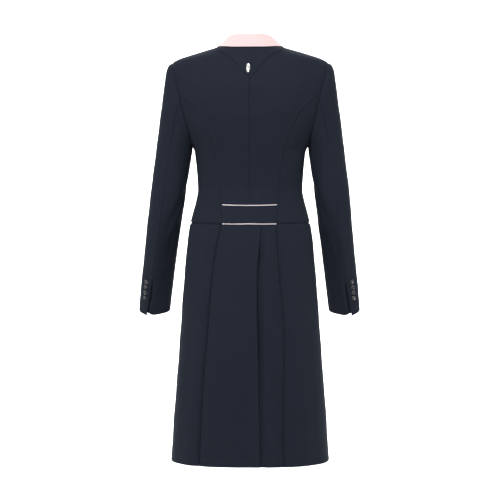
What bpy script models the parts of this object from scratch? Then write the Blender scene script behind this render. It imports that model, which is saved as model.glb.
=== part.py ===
"""Tailcoat, filled out as worn, in metres with +Z up.

The back of the coat faces -Y, the front +Y, and the wearer's left is at -X.
The origin is at the middle of the neck base, at the height of the shoulder
line, where the wearer carries the coat. Tables are in millimetres.

The body follows one form: horizontal rings whose half width, depth behind,
depth in front and squareness change with height. Every body and skirt panel
is a loft on that form between two seams that aren't alike, with the outer
face on the form and the inner face one cloth thickness inside it.
"""

import math

import bpy
import numpy as np
from mathutils import Matrix, Vector
from mathutils.bvhtree import BVHTree

# ---------------------------------------------------------------- main sizes
MM = 0.001
CLOTH = 1.8  # body, skirt and sleeve cloth
COLLAR_CLOTH = 2.0
THIN = 1.0  # the V at the neck
SEAM = 0.3  # gap between two pieces at a seam
LAP_GAP = 1.0  # gap between a piece and the one it lies on
PIPING_R = 1.5
NECK_Z = 8.0  # neck seam, behind and at the sides
TIP_Z = -35.0  # shoulder tip
UNDERARM_Z = -240.0
WAIST_Z = -430.5  # waist seam, centre back
WAIST_SIDE_RISE = 5.0
BELT_TOP_Z = -384.5
HEM_Z = -1003.0
FRONT_POINT_Z = -464.0
CUFF_BUTTON_D = 11.5
FRONT_BUTTON_D = 15.0

# ------------------------------------------------------------------- tables
# height z, half width a, depth behind b, depth in front f, squareness n
FORM = np.array(
    [
        (-1010.0, 193.0, 140.0, 115.0, 2.55),
        (-900.0, 186.5, 136.0, 113.0, 2.45),
        (-762.0, 176.0, 130.0, 110.0, 2.30),
        (-615.0, 165.8, 122.0, 106.0, 2.22),
        (-517.0, 158.2, 114.0, 103.0, 2.25),
        (-468.0, 153.5, 107.0, 101.0, 2.30),
        (-430.0, 147.2, 98.0, 97.0, 2.30),
        (-400.0, 140.2, 89.0, 92.0, 2.30),
        (-370.0, 132.2, 82.0, 89.0, 2.30),
        (-345.0, 128.0, 79.0, 88.0, 2.30),
        (-311.0, 130.0, 82.0, 92.0, 2.30),
        (-282.0, 132.5, 87.0, 99.0, 2.30),
        (-252.0, 136.0, 93.0, 107.0, 2.30),
        (-240.0, 141.0, 95.0, 110.0, 2.35),
        (-230.0, 147.5, 97.0, 112.0, 2.35),
        (-205.0, 161.0, 101.0, 117.0, 2.40),
        (-165.0, 178.0, 106.0, 116.0, 2.40),
        (-115.0, 193.0, 104.0, 103.0, 2.40),
        (-75.0, 197.0, 94.0, 89.0, 2.35),
        (-50.0, 196.0, 84.0, 78.0, 2.30),
        (-35.0, 190.0, 77.0, 71.0, 2.20),
        (-27.0, 176.6, 73.0, 67.0, 2.15),
        (-17.0, 147.7, 68.0, 62.0, 2.10),
        (-7.4, 117.0, 63.0, 56.0, 2.05),
        (2.5, 81.6, 56.5, 50.0, 2.00),
        (8.0, 62.0, 51.0, 46.0, 2.00),
        (12.0, 52.0, 48.0, 44.0, 2.00),
    ]
)
# princess seam: height z, distance x from the centre back
PRINCESS = np.array(
    [
        (-432.0, 65.5),
        (-381.0, 67.0),
        (-347.0, 69.5),
        (-309.0, 75.0),
        (-265.0, 83.0),
        (-226.0, 92.5),
        (-188.0, 109.0),
        (-156.0, 130.0),
        (-135.0, 151.0),
        (-122.0, 169.2),
    ]
)
# side seam: height z, angle round the ring from the centre back, degrees
SIDE_SEAM = np.array(
    [(-432.0, 102.0), (-345.0, 101.0), (-290.0, 99.0), (-255.0, 94.0), (-240.0, 90.0)]
)
# free edge of a front, past the centre on the other side when x is negative
FRONT_EDGE = np.array(
    [
        (-470.0, -14.0),
        (-235.0, -14.0),
        (-215.0, -10.0),
        (-205.0, -4.0),
        (-190.0, 5.0),
        (-150.0, 21.0),
        (-100.0, 37.0),
        (-50.0, 51.0),
        (-15.0, 58.5),
        (4.0, 62.3),
    ]
)
# lines down the skirt: height z, x of the left pleat, of the vent, of the
# right pleat, and angle of the skirt's front edge
SKIRT = np.array(
    [
        (-1010.0, -119.5, 26.5, 82.5, 98.0),
        (-924.0, -116.0, 25.0, 80.5, 99.0),
        (-847.0, -112.0, 23.0, 80.5, 100.0),
        (-768.0, -107.0, 22.0, 82.0, 101.5),
        (-690.0, -100.0, 20.0, 81.5, 103.0),
        (-622.0, -95.0, 18.5, 78.5, 105.0),
        (-560.0, -88.5, 18.5, 72.5, 107.0),
        (-492.0, -79.0, 23.0, 67.5, 110.0),
        (-428.0, -66.5, 28.5, 65.5, 113.0),
    ]
)
# soft folds of the skirt: x at the waist and at the hem, half width of the
# fold, and its depth at the waist, half way and at the hem (out is positive)
FOLDS = [
    (-66.5, -119.5, 9.0, -0.6, -3.4, -3.0),
    (-88.0, -139.0, 15.0, 0.0, 2.0, 2.6),
    (-46.0, -86.0, 18.0, 0.0, 1.4, 1.2),
    (65.5, 82.5, 8.0, -0.6, -2.6, -2.4),
    (92.0, 112.0, 18.0, 0.0, 1.8, 2.2),
    (48.0, 56.0, 14.0, 0.0, 1.2, 0.8),
    (118.0, 152.0, 14.0, 0.0, -1.4, -2.0),
    (-118.0, -166.0, 12.0, 0.0, -1.2, -1.8),
]
# sleeve sections, right side: outer point x z, inner point x z, middle y,
# half depth, how much lower the back is, share of the plain oval, and the
# place of the back seam and of the front seam, as shares of the way round
SLEEVE = np.array(
    [
        (190.5, -35.0, 141.0, -240.0, 0.0, 52.0, 0.0, 0.00, 0.250, 0.690),
        (199.0, -43.0, 141.8, -242.6, 0.0, 52.0, 0.0, 0.10, 0.249, 0.690),
        (204.0, -56.0, 142.3, -244.8, 0.0, 52.5, 0.0, 0.22, 0.248, 0.690),
        (208.0, -84.0, 142.9, -247.6, 0.0, 53.0, 0.0, 0.42, 0.246, 0.690),
        (214.1, -130.0, 143.7, -251.0, 0.0, 53.0, 0.0, 0.66, 0.242, 0.690),
        (221.0, -182.0, 144.6, -257.0, 0.0, 52.0, 0.0, 0.86, 0.237, 0.690),
        (227.8, -238.0, 146.2, -269.0, -1.0, 51.0, 0.0, 1.00, 0.231, 0.690),
        (234.0, -290.0, 149.7, -293.0, -3.0, 49.0, 0.0, 1.00, 0.228, 0.690),
        (240.2, -340.0, 157.0, -340.0, -4.0, 47.0, 0.5, 1.00, 0.230, 0.690),
        (245.2, -385.0, 163.0, -385.0, -1.0, 46.0, 3.0, 1.00, 0.229, 0.690),
        (250.4, -430.0, 169.6, -430.0, 6.0, 45.0, 6.0, 1.00, 0.230, 0.690),
        (256.5, -480.0, 177.9, -480.0, 18.0, 43.0, 9.0, 1.00, 0.225, 0.690),
        (262.8, -530.0, 185.1, -530.0, 32.0, 41.0, 11.0, 1.00, 0.213, 0.690),
        (269.2, -580.0, 192.2, -580.0, 47.0, 39.5, 12.0, 1.00, 0.203, 0.690),
        (275.0, -641.0, 200.4, -641.0, 64.0, 38.0, 13.0, 1.00, 0.183, 0.690),
    ]
)
# how far the sleeves hang over towards the wearer's left: section, shift in x
# of the left sleeve and of the right one
SWAY = np.array(
    [
        (0.0, 0.0, 0.0),
        (6.0, 0.0, 0.0),
        (9.0, -0.7, -0.9),
        (10.0, -1.2, -2.2),
        (12.0, -1.9, -3.8),
        (14.0, -2.5, -4.7),
    ]
)
# where the armhole's pieces meet or bend, as shares of the way round from the
# shoulder tip over the back: one row for the back, one for the front
ARM_BACK = [0.0, 0.045, 0.09, 0.135, 0.18, 0.2258, 0.25, 0.30, 0.35, 0.40, 0.45, 0.5]
ARM_FRONT = [0.5, 0.5475, 0.595, 0.6425, 0.69, 0.7417, 0.7933, 0.845, 0.8967, 0.9483, 1.0]
JOIN = 5  # the point of ARM_BACK where the princess seam meets the armhole
SEAM_BACK, SEAM_FRONT = 6, 4  # the points where the sleeve's seams meet it
VENT_START = 12.2  # sleeve section where the cuff vent begins
VENT_WIDTH = 0.016  # its width at the edge, as a share of the way round
CUFF_BUTTONS = [12.62, 12.87, 13.11, 13.34]  # sleeve section of each button
CUFF_BUTTON_T = 0.150
# collar, right half: place on the neck seam as an angle and height (no angle
# where it follows the front's edge), then the roll and the outer edge, x y z
COLLAR = np.array(
    [
        (0.0, 8.0, 0.0, -51.0, 30.2, 0.0, -64.6, -4.5),
        (21.0, 8.0, 22.0, -47.5, 30.4, 30.0, -61.6, -4.4),
        (40.0, 8.0, 39.0, -38.0, 30.4, 57.5, -50.5, -3.8),
        (59.0, 8.0, 48.5, -21.0, 29.8, 74.0, -29.0, -1.2),
        (86.0, 8.0, 52.5, 0.0, 25.6, 80.5, -2.0, 4.2),
        (106.0, 7.0, 53.5, 19.0, 16.5, 84.0, 27.0, 1.0),
        (math.nan, -4.0, 51.5, 38.0, 4.0, 88.0, 46.0, -9.0),
        (math.nan, -20.0, 49.5, 56.0, -11.0, 92.0, 57.5, -25.0),
        (math.nan, -38.0, 46.5, 71.5, -30.0, 93.5, 67.5, -42.0),
        (math.nan, -55.0, 43.5, 83.5, -49.0, 92.5, 76.0, -58.0),
    ]
)
# lapel: height z, x of the roll line, x of the outer edge
LAPEL = np.array(
    [
        (-203.0, 6.0, 11.0),
        (-180.0, 12.5, 38.0),
        (-150.0, 24.5, 65.0),
        (-120.0, 33.5, 86.0),
        (-92.0, 41.5, 102.0),
        (-72.0, 46.5, 113.0),
    ]
)
LAPEL_TOP_IN_Z = -64.0
# V at the back neck: height z and half width
YOKE = np.array(
    [
        (-82.0, 0.6),
        (-71.0, 11.0),
        (-46.0, 32.0),
        (-25.0, 52.0),
        (-14.5, 71.0),
        (-8.5, 78.5),
        (0.0, 81.5),
    ]
)
YOKE_TOP_Z = -3.6


# --------------------------------------------------------------- the helpers
def smooth(x, xs, ys):
    """Monotone cubic through a table's points."""
    xs, ys = np.asarray(xs, float), np.asarray(ys, float)
    x = np.asarray(x, float)
    h = np.diff(xs)
    d = np.diff(ys) / h
    m = np.zeros(len(xs))
    for i in range(1, len(xs) - 1):
        if d[i - 1] * d[i] > 0:
            w1, w2 = 2 * h[i] + h[i - 1], h[i] + 2 * h[i - 1]
            m[i] = (w1 + w2) / (w1 / d[i - 1] + w2 / d[i])
    m[0], m[-1] = d[0], d[-1]
    k = np.clip(np.searchsorted(xs, x) - 1, 0, len(xs) - 2)
    t = np.clip((x - xs[k]) / h[k], 0, 1)
    return (
        (2 * t**3 - 3 * t**2 + 1) * ys[k]
        + (t**3 - 2 * t**2 + t) * h[k] * m[k]
        + (3 * t**2 - 2 * t**3) * ys[k + 1]
        + (t**3 - t**2) * h[k] * m[k + 1]
    )


def ease(x, low, high):
    t = np.clip((np.asarray(x, float) - low) / (high - low), 0, 1)
    return t * t * (3 - 2 * t)


def ring(z):
    return [smooth(z, FORM[:, 0], FORM[:, c]) for c in range(1, 5)]


def form(phi, z):
    """The form's point at an angle from the centre back and a height."""
    a, b, f, n = ring(z)
    s, c = np.sin(phi), np.cos(phi)
    x = a * np.sign(s) * np.abs(s) ** (2 / n)
    y = -np.where(c > 0, b, f) * np.sign(c) * np.abs(c) ** (2 / n)
    return np.stack([x, y, z + 0 * x], -1)


def form_normal(phi, z):
    e, g = 1e-3, 0.2
    du = form(phi + e, z) - form(phi - e, z)
    dv = form(phi, z + g) - form(phi, z - g)
    n = np.cross(du, dv)
    return n / np.linalg.norm(n, axis=-1, keepdims=True)


def back_angle(x, z):
    """Angle of the back point at x, for a given height."""
    a, _, _, n = ring(z)
    return np.sign(x) * np.arcsin(np.clip(np.abs(x) / a, 0, 1) ** (n / 2))


def front_angle(x, z):
    return math.pi - back_angle(x, z)


def armhole_x(z):
    """The armhole lies in a plane that leans in towards the underarm."""
    return 190.0 + (z - TIP_Z) / (UNDERARM_Z - TIP_Z) * (141.0 - 190.0)


def folds(p):
    """How far the skirt's soft folds move each point in or out."""
    x, y, z = p[..., 0], p[..., 1], p[..., 2]
    down = np.clip((WAIST_Z - z) / (WAIST_Z - HEM_Z), 0, 1)
    out = np.zeros_like(x)
    for top, hem, half, d0, d1, d2 in FOLDS:
        line = top + (hem - top) * down**0.8
        depth = smooth(down, [0, 0.5, 1], [d0, d1, d2])
        out += depth * np.exp(-(((x - line) / half) ** 2))
    return out * (y < 20)


def patch(bottom, top, left, right):
    """Grid of (angle, height) that fills four edges, rows from the bottom."""
    bottom, top, left, right = (np.asarray(e, float) for e in (bottom, top, left, right))
    u = np.linspace(0, 1, len(bottom))[None, :, None]
    v = np.linspace(0, 1, len(left))[:, None, None]
    return (
        (1 - v) * bottom[None]
        + v * top[None]
        + (1 - u) * left[:, None]
        + u * right[:, None]
        - (1 - u) * (1 - v) * bottom[0]
        - u * (1 - v) * bottom[-1]
        - (1 - u) * v * top[0]
        - u * v * top[-1]
    )


def pull_in(p, gaps):
    """Moves a grid's four edges in by their gaps: bottom, top, left, right."""
    p = p.copy()
    for edge, inner, gap in (
        ((0, slice(None)), (1, slice(None)), gaps[0]),
        ((-1, slice(None)), (-2, slice(None)), gaps[1]),
        ((slice(None), 0), (slice(None), 1), gaps[2]),
        ((slice(None), -1), (slice(None), -2), gaps[3]),
    ):
        line, way = p[edge], p[inner] - p[edge]
        along = np.gradient(line, axis=0)
        along /= np.linalg.norm(along, axis=1, keepdims=True) + 1e-12
        way = way - (way * along).sum(1, keepdims=True) * along
        way /= np.linalg.norm(way, axis=1, keepdims=True) + 1e-12
        p[edge] = line + gap * way
    return p


def grid_faces(rows, cols, shift, flip):
    faces = []
    for r in range(rows - 1):
        for c in range(cols - 1):
            q = [r * cols + c, r * cols + c + 1, (r + 1) * cols + c + 1, (r + 1) * cols + c]
            faces.append([shift + i for i in (q[::-1] if flip else q)])
    return faces


upper_faces = {}  # the outer face of each panel, for what lies on it


def link(obj, material):
    coat.objects.link(obj)
    obj.data.materials.append(material)
    return obj


def shell(name, outer, inner, material):
    """A closed wall between an outer and an inner grid, with its four rims."""
    rows, cols = outer.shape[:2]
    n = rows * cols
    points = np.concatenate([outer.reshape(-1, 3), inner.reshape(-1, 3)]) * MM
    du = outer[rows // 2, cols // 2 + 1] - outer[rows // 2, cols // 2 - 1]
    dv = outer[rows // 2 + 1, cols // 2] - outer[rows // 2 - 1, cols // 2]
    out = outer[rows // 2, cols // 2] - inner[rows // 2, cols // 2]
    flip = bool(np.dot(np.cross(du, dv), out) < 0)
    faces = grid_faces(rows, cols, 0, flip) + grid_faces(rows, cols, n, not flip)
    loop = (
        [c for c in range(cols)]
        + [r * cols + cols - 1 for r in range(1, rows)]
        + [(rows - 1) * cols + c for c in range(cols - 2, -1, -1)]
        + [r * cols for r in range(rows - 2, 0, -1)]
    )
    for i, a in enumerate(loop):
        b = loop[(i + 1) % len(loop)]
        rim = [a, a + n, b + n, b]
        faces.append(rim[::-1] if flip else rim)
    mesh = bpy.data.meshes.new(name)
    mesh.from_pydata([tuple(p) for p in points], [], faces)
    mesh.validate()
    mesh.shade_smooth()
    mesh.set_sharp_from_angle(angle=math.radians(50))
    return link(bpy.data.objects.new(name, mesh), material)


def panel(name, grid, gaps, material, thick=CLOTH, lies_on=(), relief=None):
    """A panel on the form, or lying on the panels whose names are given."""
    phi, z = grid[..., 0], grid[..., 1]
    p, n = form(phi, z), form_normal(phi, z)
    if relief is not None:
        p = p + n * relief(p)[..., None]
    p = pull_in(p, gaps)
    if lies_on:
        p = clear_of(p, lies_on, LAP_GAP)
        outer, inner = p + n * thick, p
    else:
        outer, inner = p, p - n * thick
    upper_faces[name] = (outer.reshape(-1, 3), grid_faces(*outer.shape[:2], 0, name.endswith("left")))
    return shell(name, outer, inner, material)


def clear_of(p, names, gap):
    """Moves a grid's points out until it clears the named panels by the gap,
    at the points themselves, midway between them and at the cells' centres."""
    trees = [BVHTree.FromPolygons([tuple(q) for q in upper_faces[n][0]], upper_faces[n][1]) for n in names]
    p = np.atleast_3d(p).copy() if p.ndim == 3 else p[None].copy()
    rows, cols = p.shape[:2]
    for step in ((0, 0), (0, 1), (1, 0), (1, 1), (0, 0)):
        push = np.zeros_like(p)
        for r in range(rows - step[0]):
            for c in range(cols - step[1]):
                corners = {(r, c), (r + step[0], c), (r, c + step[1]), (r + step[0], c + step[1])}
                q = sum(p[i] for i in corners) / len(corners)
                near = min((tree.find_nearest(Vector(q)) for tree in trees), key=lambda hit: hit[3])
                normal = np.array(near[1])
                short = gap - float((q - np.array(near[0])) @ normal)
                for i in corners if short > 0 else ():
                    if short > np.linalg.norm(push[i]):
                        push[i] = normal * short
        p += push
    return p if rows > 1 else p[0]


def mirrored(grid):
    g = grid.copy()
    g[..., 0] *= -1
    return g


def finish_material(name, colour, roughness, metallic=0.0):
    m = bpy.data.materials.new(name)
    m.use_nodes = True
    shader = m.node_tree.nodes["Principled BSDF"]
    shader.inputs["Base Color"].default_value = (*colour, 1.0)
    shader.inputs["Roughness"].default_value = roughness
    shader.inputs["Metallic"].default_value = metallic
    return m


def navy(name):
    return finish_material(name, (0.0185, 0.0235, 0.036), 0.82)


def pink(name):
    return finish_material(name, (0.93, 0.72, 0.71), 0.75)


# ------------------------------------------------------------ the body panels
def waist_z(phi):
    """The waist seam rises a little from the centre back to the sides."""
    return WAIST_Z + WAIST_SIDE_RISE * ease(np.abs(np.degrees(phi)), 25, 90)


def princess_line(zs):
    return np.stack([back_angle(smooth(zs, PRINCESS[:, 0], PRINCESS[:, 1]), zs), zs], -1)


def armhole_line(zs, front=False):
    angle = back_angle(armhole_x(zs), zs)
    return np.stack([math.pi - angle if front else angle, zs], -1)


def shoulder_line(count):
    """From the shoulder tip to the side of the neck, just past the ridge."""
    zs = smooth(np.linspace(0, 1, count), [0, 0.35, 1], [TIP_Z, -20.0, NECK_Z])
    return np.stack([np.radians(90 + 6 * (zs - TIP_Z) / (NECK_Z - TIP_Z)), zs], -1)


def arm_z(shares):
    """Height of the armhole's points at these shares of the way round."""
    turn = np.cos(2 * math.pi * np.asarray(shares))
    return TIP_Z + (UNDERARM_Z - TIP_Z) * (1 - turn) / 2


JOIN_Z = float(arm_z(ARM_BACK[JOIN]))
PRINCESS_Z = [BELT_TOP_Z, -345.0, -309.0, -272.0, -236.0, -205.0, -176.0, -151.0, -134.0, JOIN_Z]
SIDE_Z = np.linspace(WAIST_Z + WAIST_SIDE_RISE, UNDERARM_Z, len(PRINCESS_Z) + 2)


def back_centre():
    outer = np.concatenate(
        [
            princess_line(np.array(PRINCESS_Z)),
            armhole_line(arm_z(ARM_BACK[:JOIN][::-1])),
            shoulder_line(6)[1:],
        ]
    )
    inner = np.stack([0 * outer[:, 1], outer[:, 1]], -1)
    u = np.linspace(0, 1, 9)
    bottom = np.stack([outer[0, 0] * u, BELT_TOP_Z - 1.2 + 1.2 * u**2], -1)
    inner[0] = bottom[0]
    top = np.stack([outer[-1, 0] * u, np.full(len(u), NECK_Z)], -1)
    return patch(bottom, top, inner, outer)


def back_side():
    low = np.array([waist_z(np.radians(27.0)), -408.0])
    line = princess_line(np.concatenate([low, PRINCESS_Z]))
    side_z = SIDE_Z
    side = np.stack([np.radians(smooth(side_z, SIDE_SEAM[:, 0], SIDE_SEAM[:, 1])), side_z], -1)
    top = armhole_line(arm_z(ARM_BACK[JOIN:]))
    phi = line[0, 0] + (side[0, 0] - line[0, 0]) * np.linspace(0, 1, len(top))
    bottom = np.stack([phi, waist_z(phi)], -1)
    return patch(bottom, top, line, side)


def front_line(zs):
    x = smooth(zs, FRONT_EDGE[:, 0], FRONT_EDGE[:, 1])
    return np.stack([front_angle(x, zs), zs], -1)


def front_panel():
    side_z = SIDE_Z
    side = np.stack([np.radians(smooth(side_z, SIDE_SEAM[:, 0], SIDE_SEAM[:, 1])), side_z], -1)
    arm = armhole_line(arm_z(ARM_FRONT[1:]), front=True)
    left = np.concatenate([side, arm, shoulder_line(6)[1:]])
    rise = (left[:, 1] - left[0, 1]) / (left[-1, 1] - left[0, 1])
    edge_z = left[:, 1] + (FRONT_POINT_Z - left[0, 1]) * (1 - rise) ** 1.5 - 4.0 * rise
    right = front_line(edge_z)
    u = np.linspace(0, 1, 7)
    phi = left[0, 0] + (right[0, 0] - left[0, 0]) * u
    bottom = np.stack(
        [phi, waist_z(phi) + (FRONT_POINT_Z - waist_z(1.7)) * ease(np.degrees(phi), 114, 178)], -1
    )
    bottom[-1] = right[0]
    top = left[-1] + (right[-1] - left[-1]) * u[:, None]
    return patch(bottom, top, left, right)


def under_lap(p):
    """The under front is set back where the other one lies over it."""
    return -(CLOTH + LAP_GAP) * ease(p[..., 0], -42, -19) * (p[..., 1] > 0)


# ------------------------------------------------------------ the skirt panels
def skirt_line(zs, column):
    x = smooth(zs, SKIRT[:, 0], SKIRT[:, column])
    if column == 4:
        return np.stack([np.radians(x), zs], -1)
    return np.stack([back_angle(x, zs), zs], -1)


def skirt_panel(column_a, column_b, cols, side_a=1, side_b=1, shift_a=0.0):
    """Between two lines down the skirt, from the hem up to the waist seam."""
    rows = 11
    t = np.linspace(0, 1, rows)
    edges = []
    for column, side, shift in ((column_a, side_a, shift_a), (column_b, side_b, 0.0)):
        zs = HEM_Z + (WAIST_Z - HEM_Z) * t
        line = skirt_line(zs, column)
        if shift:
            x = smooth(zs, SKIRT[:, 0], SKIRT[:, column]) + shift
            line[:, 0] = back_angle(x, zs)
        line[:, 0] *= side
        line[:, 1] = HEM_Z + (waist_z(line[-1, 0]) - HEM_Z) * t
        edges.append(line)
    u = np.linspace(0, 1, cols)
    hem = np.stack([edges[0][0, 0] + (edges[1][0, 0] - edges[0][0, 0]) * u, np.full(cols, HEM_Z)], -1)
    phi = edges[0][-1, 0] + (edges[1][-1, 0] - edges[0][-1, 0]) * u
    return patch(hem, np.stack([phi, waist_z(phi)], -1), edges[0], edges[1])


def vent_recess(p):
    """The right tail is set back behind the left one's free edge."""
    down = np.clip((WAIST_Z - p[..., 2]) / (WAIST_Z - HEM_Z), 0, 1)
    line = smooth(p[..., 2], SKIRT[:, 0], SKIRT[:, 2])
    deep = CLOTH + LAP_GAP + smooth(down, [0, 0.2, 0.5, 1], [0.0, 2.0, 3.0, 1.6])
    return -deep * (1 - ease(p[..., 0] - line, 3, 26))


# ------------------------------------------------------------- the sleeves
def sleeve_point(k, t):
    """Point of the right sleeve at section k and share t of the way round,
    from the outer line over the back to the inner line and on to the front."""
    at = np.arange(len(SLEEVE))
    hx, hz, ux, uz, yc, depth, low, oval = (smooth(k, at, SLEEVE[:, c]) for c in range(8))
    theta = 2 * math.pi * np.asarray(t, float)
    c, s = np.cos(theta), np.sin(theta)
    z0 = TIP_Z + (UNDERARM_Z - TIP_Z) * (1 - c) / 2
    a, b, f, n = ring(z0)
    reach = (1 - np.clip(armhole_x(z0) / a, 0, 1) ** n) ** (1 / n)
    loop_y = -np.where(s >= 0, b, -f) * reach
    full = 1 + 0.05 * np.sin(2 * theta) ** 2
    y = (1 - oval) * loop_y + oval * (yc - depth * s * full)
    x = (hx + ux) / 2 + (hx - ux) / 2 * c
    z = (hz + uz) / 2 + (hz - uz) / 2 * c - low * s
    return np.stack([x, y, z + 0 * y], -1)


def sleeve_normal(k, t):
    e, g = 2e-3, 0.03
    last = len(SLEEVE) - 1
    du = sleeve_point(k, t + e) - sleeve_point(k, t - e)
    dv = sleeve_point(np.minimum(k + g, last), t) - sleeve_point(np.maximum(k - g, 0), t)
    n = np.cross(du, dv)
    return n / (np.linalg.norm(n, axis=-1, keepdims=True) + 1e-12)


def seam_share(k, column):
    return smooth(k, np.arange(len(SLEEVE)), SLEEVE[:, column])


def sway(k, side):
    return smooth(k, SWAY[:, 0], SWAY[:, 1 if side < 0 else 2])


def sleeve_piece(name, side, upper, material):
    last = len(SLEEVE) - 1
    k = np.array([0, 0.5, 1, 2, 3, 4, 5, 6, 7.2, 8.7, 10.4, VENT_START, 12.75, 13.3, 14.0])
    back, front = seam_share(k, 8)[:, None], seam_share(k, 9)[:, None]
    if upper:
        over = np.array(ARM_FRONT[SEAM_FRONT:-1])[None] - 1
        behind = np.array(ARM_BACK[: SEAM_BACK + 1])[None]
        t = np.concatenate([over * (1 - front) / (1 - front[0]), behind * back / back[0]], 1)
    else:
        back = back + VENT_WIDTH * np.clip((k[:, None] - VENT_START) / (last - VENT_START), 0, 1)
        u = np.array(ARM_BACK[SEAM_BACK:-1] + ARM_FRONT[: SEAM_FRONT + 1])[None]
        t = back + (front - back) * (u - u[0, 0]) / (u[0, -1] - u[0, 0])
    kk = k[:, None] + 0 * t
    p, n = sleeve_point(kk, t), sleeve_normal(kk, t)
    away = np.array([0.972, 0.0, -0.235])
    # beside the armhole the wall stays on its own side of the armhole's plane
    n[0] -= (n[0] @ away)[:, None] * away
    for row, share in ((1, 1.0), (2, 1.0), (3, 0.5)):
        n[row] -= share * np.minimum(n[row] @ away, 0)[:, None] * away
    n /= np.linalg.norm(n, axis=-1, keepdims=True)
    p = pull_in(p, (0.0, 0.0, SEAM / 2, SEAM / 2))
    p[0] += SEAM * away
    # the table gives the inside of the cloth, set in at the armhole so that its
    # outside meets the outside of the body there
    out = n * (CLOTH * ease(k, 0, 2))[:, None, None]
    outer, inner = p + out, p + out - n * CLOTH
    if side < 0:
        outer, inner = outer * (-1, 1, 1), inner * (-1, 1, 1)
    for face in (outer, inner):
        face[..., 0] += sway(k, side)[:, None]
    return shell(name, outer, inner, material)


# -------------------------------------------------------------- small pieces
def turned(name, profile, material, steps):
    """A turned piece: the profile runs down its outer side, top to bottom."""
    mesh = bpy.data.meshes.new(name)
    mesh.from_pydata(
        [(r * MM, 0.0, z * MM) for r, z in profile],
        [(i, i + 1) for i in range(len(profile) - 1)],
        [],
    )
    obj = link(bpy.data.objects.new(name, mesh), material)
    turn = obj.modifiers.new("turn", "SCREW")
    turn.steps = turn.render_steps = steps
    turn.use_merge_vertices = True
    turn.merge_threshold = 0.00001
    turn.use_smooth_shade = True
    return obj


def button_profile(d):
    r = d / 2
    return [(0, 1.7), (0.45 * r, 1.75), (0.68 * r, 2.5), (0.86 * r, 2.75), (r, 2.0), (r, 1.1), (0.8 * r, 0.3), (0, 0.0)]


def place(obj, at, normal):
    """Stands the piece on a point with its axis along the normal."""
    turn = Vector(normal).to_track_quat("Z", "Y")
    obj.matrix_world = Matrix.Translation(Vector(at) * MM) @ turn.to_matrix().to_4x4()


def on_back(x, z, lift):
    phi = back_angle(x, z)
    return form(phi, np.float64(z)) + form_normal(phi, np.float64(z)) * lift


def piping(name, end_x, z_mid, z_end, material):
    curve = bpy.data.curves.new(name, "CURVE")
    curve.dimensions = "3D"
    curve.bevel_depth = PIPING_R * MM
    curve.bevel_resolution = 2
    curve.use_fill_caps = True
    spline = curve.splines.new("POLY")
    count = 20
    spline.points.add(count - 1)
    for i, s in enumerate(np.linspace(-1, 1, count)):
        z = z_mid + (z_end - z_mid) * s * s
        p = on_back(end_x * s, z, -0.5) * MM
        spline.points[i].co = (*p, 1.0)
    return link(bpy.data.objects.new(name, curve), material)


def collar(material):
    """One folded wall: the stand goes up to the roll and the fall comes down."""
    at = np.arange(len(COLLAR))
    s = np.linspace(0, len(COLLAR) - 1, 17)
    seam_z = smooth(s, at, COLLAR[:, 1])
    angle = COLLAR[:, 0].copy()
    on_front = np.isnan(angle)
    angle[on_front] = np.degrees(front_line(COLLAR[on_front, 1])[:, 0])
    phi = np.radians(smooth(s, at, angle))
    seam, normal = form(phi, seam_z), form_normal(phi, seam_z)
    along = np.gradient(seam, axis=0)
    away = np.cross(normal, along)
    away /= np.linalg.norm(away, axis=1, keepdims=True)
    gap = 1.4 + 1.8 * np.exp(-(((s - 5.5) / 0.9) ** 2))  # wider at the corner of the neck
    seam = seam + away * gap[:, None] - normal * CLOTH / 2
    table = np.concatenate([seam, np.stack([smooth(s, at, COLLAR[:, c]) for c in range(2, 8)], -1)], 1)
    whole = np.concatenate([table[:0:-1] * (-1, 1, 1, -1, 1, 1, -1, 1, 1), table])
    stand, roll, edge = whole[:, :3], whole[:, 3:6], whole[:, 6:9]
    out = edge - stand
    up = roll - stand
    up /= np.linalg.norm(up, axis=1, keepdims=True)
    out -= (out * up).sum(1, keepdims=True) * up
    out /= np.linalg.norm(out, axis=1, keepdims=True)
    base = roll - up * 2.6 + out * 2.8
    fall = [edge + (base - edge) * share + out * swell for share, swell in ((0.66, 0.6), (0.33, 0.5), (0.0, 0.0))]
    under = [f"{part}_{word}" for part in ("back_centre", "front") for word in ("left", "right")]
    fall = [clear_of(row, under + ["back_yoke_v"], LAP_GAP + COLLAR_CLOTH / 2) for row in fall]
    sections = [
        stand,
        stand + (roll - up * 3 - out * 2.6 - stand) * 0.55,
        roll - up * 2.8 - out * 2.6,
        roll - up * 1.0,
        base,
        *fall,
    ]
    grid = np.stack(sections) * MM
    rows, cols = grid.shape[:2]
    mesh = bpy.data.meshes.new("collar")
    mesh.from_pydata([tuple(p) for p in grid.reshape(-1, 3)], [], grid_faces(rows, cols, 0, False))
    mesh.shade_smooth()
    obj = link(bpy.data.objects.new("collar", mesh), material)
    wall = obj.modifiers.new("wall", "SOLIDIFY")
    wall.thickness = COLLAR_CLOTH * MM
    wall.offset = 0.0
    wall.use_even_offset = False
    return obj


def lapel():
    rows, cols = 9, 6
    t = np.linspace(0, 1, rows)
    zs = LAPEL[0, 0] + (LAPEL[-1, 0] - LAPEL[0, 0]) * t
    x_in, x_out = (smooth(zs, LAPEL[:, 0], LAPEL[:, c]) for c in (1, 2))
    z_in = LAPEL[0, 0] + (LAPEL_TOP_IN_Z - LAPEL[0, 0]) * t
    left = np.stack([front_angle(x_out, zs), zs], -1)
    right = np.stack([front_angle(smooth(z_in, LAPEL[:, 0], LAPEL[:, 1]), z_in), z_in], -1)
    u = np.linspace(0, 1, cols)[:, None]
    return patch(left[0] + (right[0] - left[0]) * u, left[-1] + (right[-1] - left[-1]) * u, left, right)


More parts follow.
